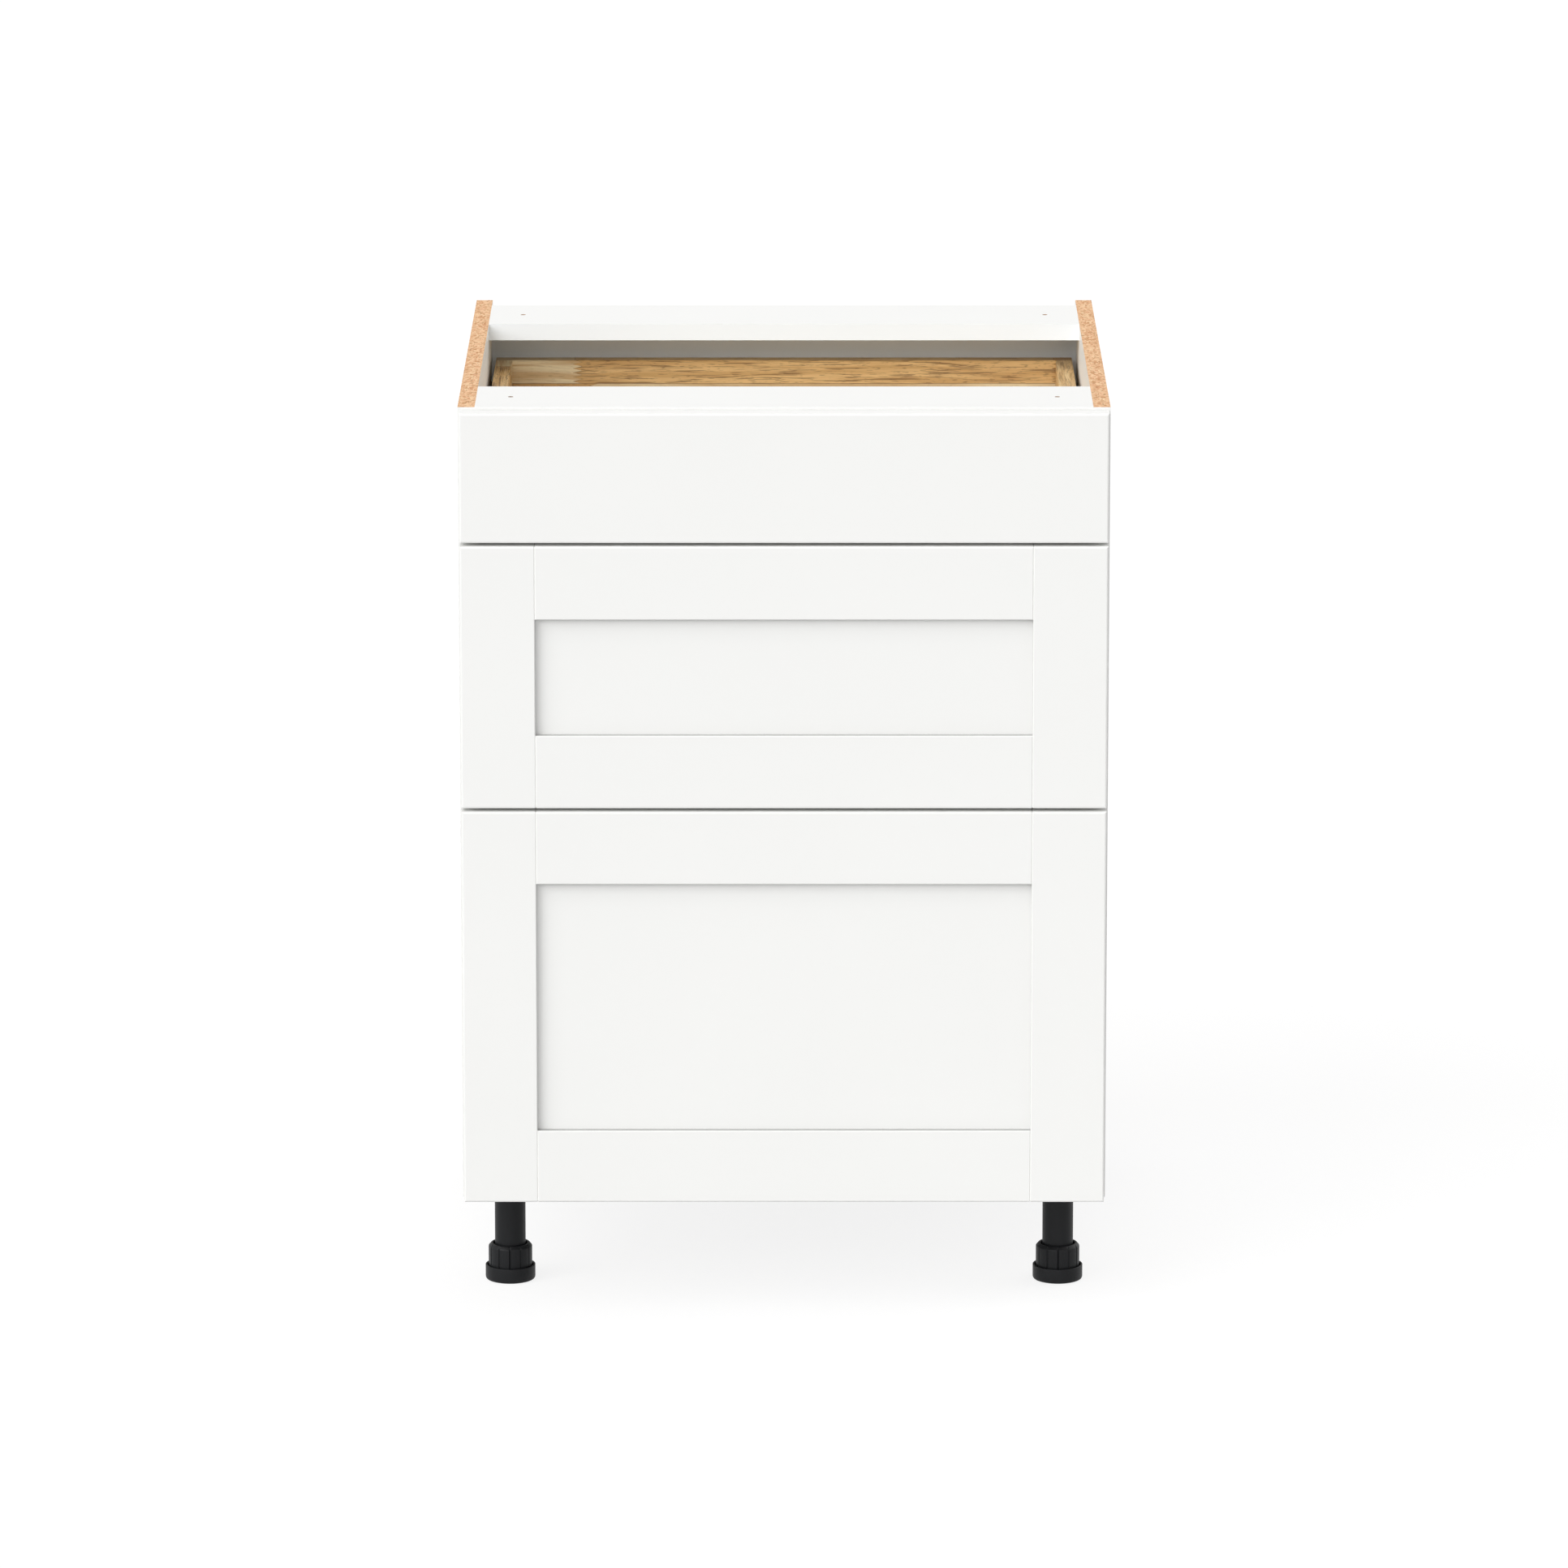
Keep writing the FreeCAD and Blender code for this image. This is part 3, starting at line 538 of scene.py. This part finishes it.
def carved(part, cutter):
    """The part with the cutter's space taken out of it."""
    block = bpy.data.objects.new("block", mesh_of("block", part))
    tool = bpy.data.objects.new("tool", mesh_of("tool", cutter))
    for item in (block, tool):
        bpy.context.scene.collection.objects.link(item)
    cut = block.modifiers.new("cut", "BOOLEAN")
    cut.object = tool
    cut.solver = "EXACT"
    cut.use_self = True
    shaped = block.evaluated_get(bpy.context.evaluated_depsgraph_get()).data
    points = [vertex.co.copy() for vertex in shaped.vertices]
    faces = [list(face.vertices) for face in shaped.polygons]
    for item in (block, tool):
        mesh = item.data
        bpy.data.objects.remove(item)
        bpy.data.meshes.remove(mesh)
    return points, faces


def new_piece(name, part, material, body, node, crease=35):
    """A piece made of one part, which rides on a body and stands for a CAD node."""
    mesh = mesh_of(name, part)
    mesh.materials.append(material)
    mesh.shade_smooth()
    mesh.set_sharp_from_angle(angle=math.radians(crease))
    piece = bpy.data.objects.new(name, mesh)
    bpy.context.scene.collection.objects.link(piece)
    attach(piece, body)
    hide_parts(node)


def loose_solids(node):
    """The separate solids of a CAD node, each as a list of its corners."""
    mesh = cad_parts[node].data
    corners = [tuple(round(part, 6) for part in vertex.co) for vertex in mesh.vertices]
    leader = {corner: corner for corner in corners}

    def first(corner):
        while leader[corner] != corner:
            corner = leader[corner]
        return corner

    for face in mesh.polygons:
        start = first(corners[face.vertices[0]])
        for index in face.vertices[1:]:
            leader[first(corners[index])] = start
    solids = {}
    for corner in sorted(leader):
        solids.setdefault(first(corner), []).append(Vector(corner))
    return [solids[key] for key in sorted(solids)]


def extent(corners):
    """The lowest and highest corner of some points."""
    low = Vector([min(corner[axis] for corner in corners) for axis in range(3)])
    high = Vector([max(corner[axis] for corner in corners) for axis in range(3)])
    return low, high


def pointed(start, direction, turn=0.0):
    """The matrix that carries the origin to start and Z to direction, turned about it."""
    facing = Vector((0, 0, 1)).rotation_difference(direction).to_matrix().to_4x4()
    return Matrix.Translation(start) @ facing @ Matrix.Rotation(turn, 4, "Z")


def cross(reach, width, low, high):
    """A cross of two bars about Z, for a screwdriver's recess."""
    rise = Vector((0, 0, high - low))
    return merged([swept(oblong(reach, width / 2, low), rise), swept(oblong(width / 2, reach, low), rise)])


def threaded(radius, depth, pitch):
    """A radius rule for turned() that winds one thread start round a shank."""
    def radius_at(reach, angle, height):
        if abs(reach - radius) > depth / 10:
            return reach
        phase = (height / pitch - angle / (2 * math.pi)) % 1.0
        return reach - depth * (1 - abs(2 * phase - 1)) ** 0.8
    return radius_at


# Dressing the construction's own pieces

def dress(node, *materials, pick=None):
    """Give a CAD node its materials; pick(middle, normal) says which one a face takes."""
    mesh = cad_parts[node].data
    mesh.materials.clear()
    for material in materials:
        mesh.materials.append(material)
    for face in mesh.polygons:
        face.material_index = pick(face.center, face.normal) if pick else 0


class CABINET_OT_carcass(bpy.types.Operator):
    """Face the carcass boards with melamine and leave their sawn edges raw"""
    bl_idname = "cabinet.carcass"
    bl_label = "Carcass Boards"

    def execute(self, context):
        colours = context.scene.cabinet_colours
        faced = melamine_board("melamine_pressed_satin", colours.melamine)
        foiled = melamine_board("paper_foil_white", colours.back_foil)
        raw = raw_particleboard("particleboard_sawn_edge")
        # The walls of the holes take a darker copy of the raw edge: painted shade inside the holes.
        bore_painted_shade = raw_particleboard("particleboard_drilled", 0.6)
        # A face whose middle lies this near to a board's end or edge belongs to it.
        edge = 0.5 * MM
        for node in ("side_panel_left", "side_panel_right"):
            low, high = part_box(node)

            def sawn(middle, normal, low=low, high=high):
                ends = middle.z > high.z - edge or middle.z < low.z + edge or middle.y > high.y - edge
                in_hole = abs(normal.x) < 0.5 and low.y + edge < middle.y
                return int(ends or in_hole)

            dress(node, faced, raw, pick=sawn)
        for node in ("front_stretcher", "back_stretcher", "bottom_panel"):
            low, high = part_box(node)

            def sawn(middle, normal, low=low, high=high):
                in_hole = abs(normal.z) < 0.5 and low.y + edge < middle.y < high.y - edge
                at_end = middle.x < low.x + edge or middle.x > high.x - edge
                at_front = middle.y < low.y + edge
                return 1 if at_end else 2 if in_hole else 3 * at_front

            dress(node, faced, raw, bore_painted_shade, foiled if node == "back_stretcher" else faced, pick=sawn)
        brown = raw_fibreboard()
        dress("back_panel", foiled, brown, pick=lambda middle, normal: int(normal.y > -0.5))
        return {"FINISHED"}


class CABINET_OT_fronts(bpy.types.Operator):
    """Spray the drawer fronts with satin lacquer"""
    bl_idname = "cabinet.fronts"
    bl_label = "Drawer Fronts"

    # The axis and the side on which each part of a frame faces the recess
    INNER = {"left_stile": (0, 1), "right_stile": (0, -1), "top_rail": (2, -1), "bottom_rail": (2, 1)}

    def execute(self, context):
        lacquer = satin_lacquer("fibreboard_sprayed_satin_lacquer")
        # The frame's inner walls round the recess take a darker copy of the lacquer: painted shade in the
        # recess.
        recess_painted_shade = satin_lacquer("fibreboard_edge_soaked_lacquer", 0.48)
        dress("top_front_slab", lacquer)
        for drawer in DRAWERS[1:]:
            dress(drawer + "_front_panel", lacquer)
            for part, (axis, side) in self.INNER.items():
                dress(drawer + "_" + part, lacquer, recess_painted_shade,
                      pick=lambda middle, normal, axis=axis, side=side: int(side * normal[axis] > 0.9))
        return {"FINISHED"}


class CABINET_OT_boxes(bpy.types.Operator):
    """Make the drawer boxes of finger-jointed rubberwood on birch plywood bases"""
    bl_idname = "cabinet.boxes"
    bl_label = "Drawer Boxes"

    # Where each board's top stave is joined, in millimetres, and how light the piece beyond is
    JOINTS = {"back": (-203.6, 0.46), "front": (88.0, 0.62), "left": (200.0, 0.95), "right": (-210.0, 0.62)}
    # By how much both change from one drawer to the next below it
    JOINT_STEP, TONE_STEP = 131, 0.29

    def execute(self, context):
        sawn = end_grain()
        ply = birch_ply()
        for level, drawer in enumerate(DRAWERS):
            dress(drawer + "_box_base", ply)
            for part, (joint, tone) in self.JOINTS.items():
                node = drawer + "_box_" + part
                grain = 0 if part in ("back", "front") else 1
                first_joint = (joint + self.JOINT_STEP * level) * MM
                first_tone = (tone + self.TONE_STEP * level) % 1.0
                place = (grain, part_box(node)[1].z, first_joint, first_tone)
                planed = edge = jointed_rubberwood("rubberwood_staves_" + node, *place)
                if part == "back":
                    # The back board's upper edge takes a darker copy of its staves: painted shade under the
                    # back stretcher.
                    edge = jointed_rubberwood("rubberwood_painted_shade_edge_" + node, *place, shade=0.7)

                def cut(middle, normal, grain=grain):
                    return 1 if abs(normal[grain]) > 0.6 else 2 * (normal.z > 0.9)

                dress(node, planed, sawn, edge, pick=cut)
        return {"FINISHED"}


class CABINET_OT_runners(bpy.types.Operator):
    """Zinc-plate the folded runners"""
    bl_idname = "cabinet.runners"
    bl_label = "Runners"

    def execute(self, context):
        # Rolled strip is streaked along its length, which is Y.
        rolled = zinc_plated("steel_rolled_zinc_plated", (0.8, 70, 0.8), 0.32)
        for drawer in DRAWERS:
            for part in ("rails", "middles", "slides"):
                dress(drawer + "_runner_" + part, rolled)
        return {"FINISHED"}


class CABINET_OT_fasteners(bpy.types.Operator):
    """Drive threaded, cross-recessed screws and cam locks where the construction has them"""
    bl_idname = "cabinet.fasteners"
    bl_label = "Screws and Cam Locks"

    HEAD_HEIGHT = 2.0 * MM
    HEAD_RADIUS = 3.6 * MM
    SHANK_RADIUS = 1.85 * MM
    THREAD_DEPTH = 0.45 * MM
    TIP_LENGTH = 2.4 * MM
    TIP_RADIUS = 0.3 * MM
    # Sides of a turned part, and rings of points in one turn of a thread
    SIDES, RINGS = 24, 5
    # By how much each screw and cam is turned further than the one before, in radians
    SCREW_TURN, CAM_TURN = 1.7, 0.5
    # The angle at which a fastener's edges are sharp, in degrees
    CREASE = 28

    def wood_screw(self, length):
        """A pan-head screw with its bearing face at the origin and its shank along Z."""
        sizes = bpy.context.scene.cabinet_sizes
        dome = [(0.55, 1.0), (0.86, 0.8), (1.0, 0.42), (1.0, 0.06), (0.96, 0.0)]
        profile = [(self.HEAD_RADIUS * across, -self.HEAD_HEIGHT * up) for across, up in dome]
        rings = int(length / sizes.screw_pitch * self.RINGS)
        # The shank starts just under the head.
        start, straight = 0.02 * MM, length - self.TIP_LENGTH
        profile += [(self.SHANK_RADIUS, start + straight * ring / rings) for ring in range(rings + 1)]
        profile.append((self.TIP_RADIUS, length))
        rule = threaded(self.SHANK_RADIUS, self.THREAD_DEPTH, sizes.screw_pitch)
        body = turned(profile, even_angles(self.SIDES), rule)
        deep = self.HEAD_HEIGHT * 0.35
        return carved(body, cross(sizes.recess_reach, sizes.recess_width, -2 * self.HEAD_HEIGHT, -deep))

    def cam_lock(self, radius, height):
        """A cam's housing with its turned face down at the origin."""
        sizes = bpy.context.scene.cabinet_sizes
        inner = radius * 0.7
        profile = eased([(inner, 0), (radius, 0), (radius, height), (inner, height)], 0.6 * MM)
        body = turned(profile, even_angles(2 * self.SIDES))
        recess = cross(1.5 * sizes.recess_reach, 1.4 * sizes.recess_width, -height, 0.16 * height)
        return carved(body, recess)

    def cam_bolt(self, radius, length):
        """A smooth steel bolt along Z with the waist that a cam grips near its far end."""
        profile = [(radius * 0.8, 0), (radius, 0.5 * MM), (radius, length - 7 * MM),
                   (radius * 0.55, length - 6 * MM), (radius * 0.55, length - 3 * MM),
                   (radius * 0.95, length - 2.4 * MM), (radius * 0.7, length)]
        return turned(eased(profile, 0.3 * MM), even_angles(self.SIDES))

    def screw_places(self, node):
        """Where each of a node's screws bears, which way it points and how long its shank is."""
        for corners in loose_solids(node):
            low, high = extent(corners)
            size, middle = high - low, (low + high) / 2
            axis = max(range(3), key=lambda index: size[index])

            def reach(corner, middle=middle, axis=axis):
                return max(abs(corner[index] - middle[index]) for index in range(3) if index != axis)

            # The head is the widest part.
            widest = max(corners, key=reach)
            sign = 1 if widest[axis] < middle[axis] else -1
            direction = Vector([sign if index == axis else 0 for index in range(3)])
            start = middle + direction * (self.HEAD_HEIGHT - size[axis] / 2)
            yield start, direction, round(size[axis] - self.HEAD_HEIGHT, 5)

    def execute(self, context):
        formed = zinc_plated("steel_cold_formed_zinc_plated", (1.5, 1.5, 1.5), 0.36)
        bodies = {"fixing_screws": "carcass"}
        bodies.update({drawer + "_front_screws": drawer + "_drawer" for drawer in DRAWERS})
        made = {}
        for node, body in bodies.items():
            screws = []
            for number, (start, direction, length) in enumerate(self.screw_places(node)):
                if length not in made:
                    made[length] = self.wood_screw(length)
                place = pointed(start, direction, self.SCREW_TURN * number)
                screws.append(moved(made[length], place))
            new_piece("driven_" + node, merged(screws), formed, body, node,
                      crease=self.CREASE)

        fittings = []
        for number, corners in enumerate(loose_solids("cam_fittings")):
            low, high = extent(corners)
            size, middle = high - low, (low + high) / 2
            if size.x > 2 * size.z:
                inward = 1 if middle.x < 0 else -1
                start = Vector((low.x if inward > 0 else high.x, middle.y, middle.z))
                place = pointed(start, Vector((inward, 0, 0)))
                fitting = self.cam_bolt(size.z / 2, size.x)
            else:
                start = Vector((middle.x, middle.y, low.z))
                place = pointed(start, Vector((0, 0, 1)), self.CAM_TURN * number)
                fitting = self.cam_lock(size.y / 2, size.z)
            fittings.append(moved(fitting, place))
        new_piece("cam_locks_and_bolts", merged(fittings), formed, "carcass",
                  "cam_fittings", crease=self.CREASE)
        return {"FINISHED"}


class CABINET_OT_legs(bpy.types.Operator):
    """Mould the levelling legs: flanged tubes, ribbed collars on threaded spindles, and foot cups"""
    bl_idname = "cabinet.legs"
    bl_label = "Levelling Legs"

    SIDES, SPINDLE_SIDES, FLANGE_SIDES = 96, 48, 8
    # Rings of points in one turn of the spindle's thread
    RINGS = 10

    def tube(self, legs, low, high, reach):
        """One fixed tube about Z, with four gussets and an octagonal flange whose flats reach so far."""
        under = high - legs.flange_thickness
        edge = legs.edge_round
        wall = [(legs.bore_radius, low + edge), (legs.bore_radius + edge, low),
                (legs.tube_radius - edge, low), (legs.tube_radius, low + edge),
                (legs.tube_radius, under), (legs.bore_radius, under)]
        corner = reach / math.cos(math.pi / self.FLANGE_SIDES)
        plate = [(corner - edge, under), (corner, under + edge), (corner, high - edge / 2),
                 (corner - edge / 2, high)]
        parts = [turned(wall, even_angles(self.SIDES), closed=True),
                 turned(plate, even_angles(self.FLANGE_SIDES))]
        inside = (legs.tube_radius + legs.bore_radius) / 2
        bottom = under - legs.gusset_height
        rib = [(legs.gusset_reach, under), (legs.gusset_reach, under - 2 * MM),
               (legs.tube_radius + 1.5 * MM, bottom + 0.5 * MM), (inside, bottom), (inside, under)]
        outline = [Vector((x, -legs.gusset_thickness / 2, z)) for x, z in rib]
        for quarter in range(4):
            gusset = swept(outline, Vector((0, legs.gusset_thickness, 0)))
            parts.append(moved(gusset, Matrix.Rotation(quarter * math.pi / 2, 4, "Z")))
        return merged(parts)

    def collar(self, legs, low, high):
        """The grip with its lands and grooves, and its threaded spindle."""
        spread = legs.groove_width / legs.collar_radius / 2
        land = 2 * math.pi / legs.lands - 2 * spread
        angles = []
        for number in range(legs.lands):
            middle = 2 * math.pi * number / legs.lands
            angles += [middle + spread * share for share in (-1.0, -0.6, 0.0, 0.6, 1.0)]
            angles += [middle + spread + land * share / 8 for share in range(1, 8)]

        def grooved(radius, angle, height):
            rise = (radius - legs.collar_top_radius) / (legs.collar_radius - legs.collar_top_radius)
            share = angle * legs.lands / (2 * math.pi)
            away = abs(share - round(share)) * 2 * math.pi / legs.lands
            hollow = max(0.0, 1 - (away / spread) ** 2)
            return radius - legs.groove_depth * max(0.0, min(1.0, rise)) * hollow

        outline = eased([
            (legs.collar_radius - 2 * MM, low), (legs.collar_radius, low),
            (legs.collar_radius, legs.collar_high - legs.collar_slope),
            (legs.collar_top_radius, legs.collar_high), (legs.recess_radius, legs.collar_high),
            (legs.recess_radius, legs.recess_floor),
            (legs.recess_radius - 2 * MM, legs.recess_floor),
        ], 1.6 * legs.edge_round)
        grip = turned(outline, angles, grooved)
        start, end = legs.recess_floor - 1 * MM, high - 1 * MM
        length = end - start
        steps = int(length / legs.thread_pitch * self.RINGS)
        thread = [(legs.spindle_radius, start + length * step / steps) for step in range(steps + 1)]
        thread.append((legs.spindle_radius - 2 * MM, high))
        rule = threaded(legs.spindle_radius, legs.thread_depth, legs.thread_pitch)
        return merged([grip, turned(thread, even_angles(self.SPINDLE_SIDES), rule)])

    def cup(self, legs, radius, rim):
        """The foot cup, rounded underneath and at its rim."""
        inner = radius - legs.foot_wall
        outside = eased([(radius - 8 * MM, 0), (radius, 0), (radius, rim / 2)], legs.foot_round, 8)
        inside = eased([(radius, rim / 2), (radius, rim), (inner, rim), (inner, legs.foot_floor),
                        (inner - 4 * MM, legs.foot_floor)], legs.edge_round)
        return turned(outside + inside[1:], even_angles(self.SIDES))

    def execute(self, context):
        legs = context.scene.cabinet_legs
        colour = context.scene.cabinet_colours.leg
        black = moulded_plastic("polypropylene_black_moulded", colour, 0.46, grain_mm=0.9, depth_mm=0.03)
        low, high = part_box("leg_tubes")
        tubes = []
        for name in LEGS:
            under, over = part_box("foot_" + name)
            x, y = (under.x + over.x) / 2, (under.y + over.y) / 2
            centre = Matrix.Translation((x, y, 0))
            tubes.append(moved(self.tube(legs, low.z, high.z, high.x - abs(x)), centre))
            grip_low, grip_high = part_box("collar_" + name)
            collar = self.collar(legs, grip_low.z, grip_high.z)
            cup = self.cup(legs, (over.y - under.y) / 2, over.z)
            for title, part, node in (("grip_", collar, "collar_" + name), ("cup_", cup, "foot_" + name)):
                new_piece(title + name, moved(part, centre), black, node, node)
        new_piece("flanged_tubes", merged(tubes), black, "carcass", "leg_tubes")
        return {"FINISHED"}


class CABINET_OT_small_parts(bpy.types.Operator):
    """Mould the drawer latches in grey plastic, and turn the dowels from beech"""
    bl_idname = "cabinet.small_parts"
    bl_label = "Latches and Dowels"

    def execute(self, context):
        colour = context.scene.cabinet_colours.latch
        grey = moulded_plastic("acetal_grey_moulded", colour, 0.42, grain_mm=0.7, depth_mm=0.015)
        for drawer in DRAWERS:
            dress(drawer + "_latches", grey)
        dress("assembly_dowels", turned_beech())
        return {"FINISHED"}


class CABINET_OT_stage(bpy.types.Operator):
    """Set the white studio floor, the plain lights and the camera"""
    bl_idname = "cabinet.stage"
    bl_label = "Studio and Camera"

    # Each lamp's height above the horizon, bearing to the right of the camera, and spread, in degrees
    LAMPS = {"key": (33, -46, 50), "front": (19, -4, 24), "top": (84, 0, 50), "back": (30, 120, 50)}
    # How far the floor reaches each way, in metres
    FLOOR_REACH = 40.0
    # The floor as it is seen: what it glows, and how much of the lamps' light it shows besides
    FLOOR_GLOW, FLOOR_SHARE = 0.82, 0.22

    def execute(self, context):
        scene = context.scene
        studio = scene.cabinet_studio
        self.lay_floor(scene)
        world = bpy.data.worlds.new("studio_light")
        world.use_nodes = True
        scene.world = world
        tree = world.node_tree
        tree.nodes.clear()
        even = add(tree, "Background", {"Color": WHITE, "Strength": studio.sky})
        white = add(tree, "Background", {"Color": WHITE, "Strength": 1.0})
        mixed = add(tree, "MixShader", (self.seen(tree), even, white))
        add(tree, "OutputWorld", {"Surface": mixed}, output=None)

        for name, (rise, bearing, spread) in self.LAMPS.items():
            lamp = bpy.data.lights.new(name, "SUN")
            # A sun of strength pi shows a white surface that faces it as white.
            lamp.energy = getattr(studio, name) * math.pi
            lamp.angle = math.radians(spread)
            sun = bpy.data.objects.new(name, lamp)
            sun.rotation_euler = (math.radians(90 - rise), 0, math.radians(bearing))
            scene.collection.objects.link(sun)

        lens = bpy.data.cameras.new("front_view")
        lens.lens = studio.lens
        lens.clip_end = 200
        camera = bpy.data.objects.new("front_view", lens)
        camera.location = (0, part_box("top_front_slab")[0].y - studio.distance, studio.height)
        camera.rotation_euler = (math.pi / 2 - studio.tilt, 0, 0)
        scene.collection.objects.link(camera)
        scene.camera = camera
        scene.view_settings.view_transform = "Standard"
        return {"FINISHED"}

    def seen(self, tree):
        """One for what the camera sees, straight or in glass and metal, and zero for light."""
        rays = add(tree, "LightPath", output=None).outputs
        glossy, through = rays["Is Glossy Ray"], rays["Is Transmission Ray"]
        mirrored = add(tree, "Math", (glossy, through), operation="MAXIMUM")
        return add(tree, "Math", (rays["Is Camera Ray"], mirrored), operation="MAXIMUM")

    def lay_floor(self, scene):
        """A wide matt floor that looks white, takes a soft shadow and throws back plain light."""
        material, tree, shader = new_material("studio_floor_matt_white", Roughness=0.9,
                                              Specular_IOR_Level=0.0)
        shader.inputs["Base Color"].default_value = rgba(scene.cabinet_colours.floor)
        glow = add(tree, "Emission", {"Color": WHITE, "Strength": self.FLOOR_GLOW})
        matt = add(tree, "BsdfDiffuse", {"Color": rgba([self.FLOOR_SHARE] * 3)})
        bright = add(tree, "AddShader", (glow, matt))
        mixed = add(tree, "MixShader", (self.seen(tree), shader.outputs[0], bright))
        tree.links.new(mixed, tree.nodes["Material Output"].inputs["Surface"])
        corners = oblong(self.FLOOR_REACH, self.FLOOR_REACH, 0)
        mesh = mesh_of("studio_floor", (corners, [[0, 1, 2, 3]]))
        mesh.materials.append(material)
        floor = bpy.data.objects.new("studio_floor", mesh)
        scene.collection.objects.link(floor)


class CABINET_PT_finish(bpy.types.Panel):
    """Sidebar panel with the finish's steps in order"""
    bl_label = "Drawer Base Cabinet"
    bl_idname = "CABINET_PT_finish"
    bl_space_type = "VIEW_3D"
    bl_region_type = "UI"
    bl_category = "Cabinet"

    def draw(self, context):
        for operator in OPERATORS:
            self.layout.operator(operator.bl_idname)
        for name in GROUPS:
            box = self.layout.box()
            group = getattr(context.scene, name)
            for setting in group.__annotations__:
                box.prop(group, setting)


GROUPS = {"cabinet_colours": CabinetColours, "cabinet_sizes": CabinetSizes, "cabinet_legs": CabinetLegs,
          "cabinet_studio": CabinetStudio}
OPERATORS = (CABINET_OT_stage, CABINET_OT_carcass, CABINET_OT_fronts, CABINET_OT_boxes, CABINET_OT_runners,
             CABINET_OT_fasteners, CABINET_OT_legs, CABINET_OT_small_parts)


def register():
    """Register the settings, the operators and the panel."""
    for item in (*GROUPS.values(), *OPERATORS, CABINET_PT_finish):
        bpy.utils.register_class(item)
    for name, group in GROUPS.items():
        setattr(bpy.types.Scene, name, PointerProperty(type=group))


def unregister():
    """Undo register."""
    for name in GROUPS:
        delattr(bpy.types.Scene, name)
    for item in reversed((*GROUPS.values(), *OPERATORS, CABINET_PT_finish)):
        bpy.utils.unregister_class(item)


def main():
    """Finish the whole cabinet."""
    register()
    for operator in OPERATORS:
        group, name = operator.bl_idname.split(".")
        getattr(getattr(bpy.ops, group), name)()


if __name__ == "__main__":
    main()
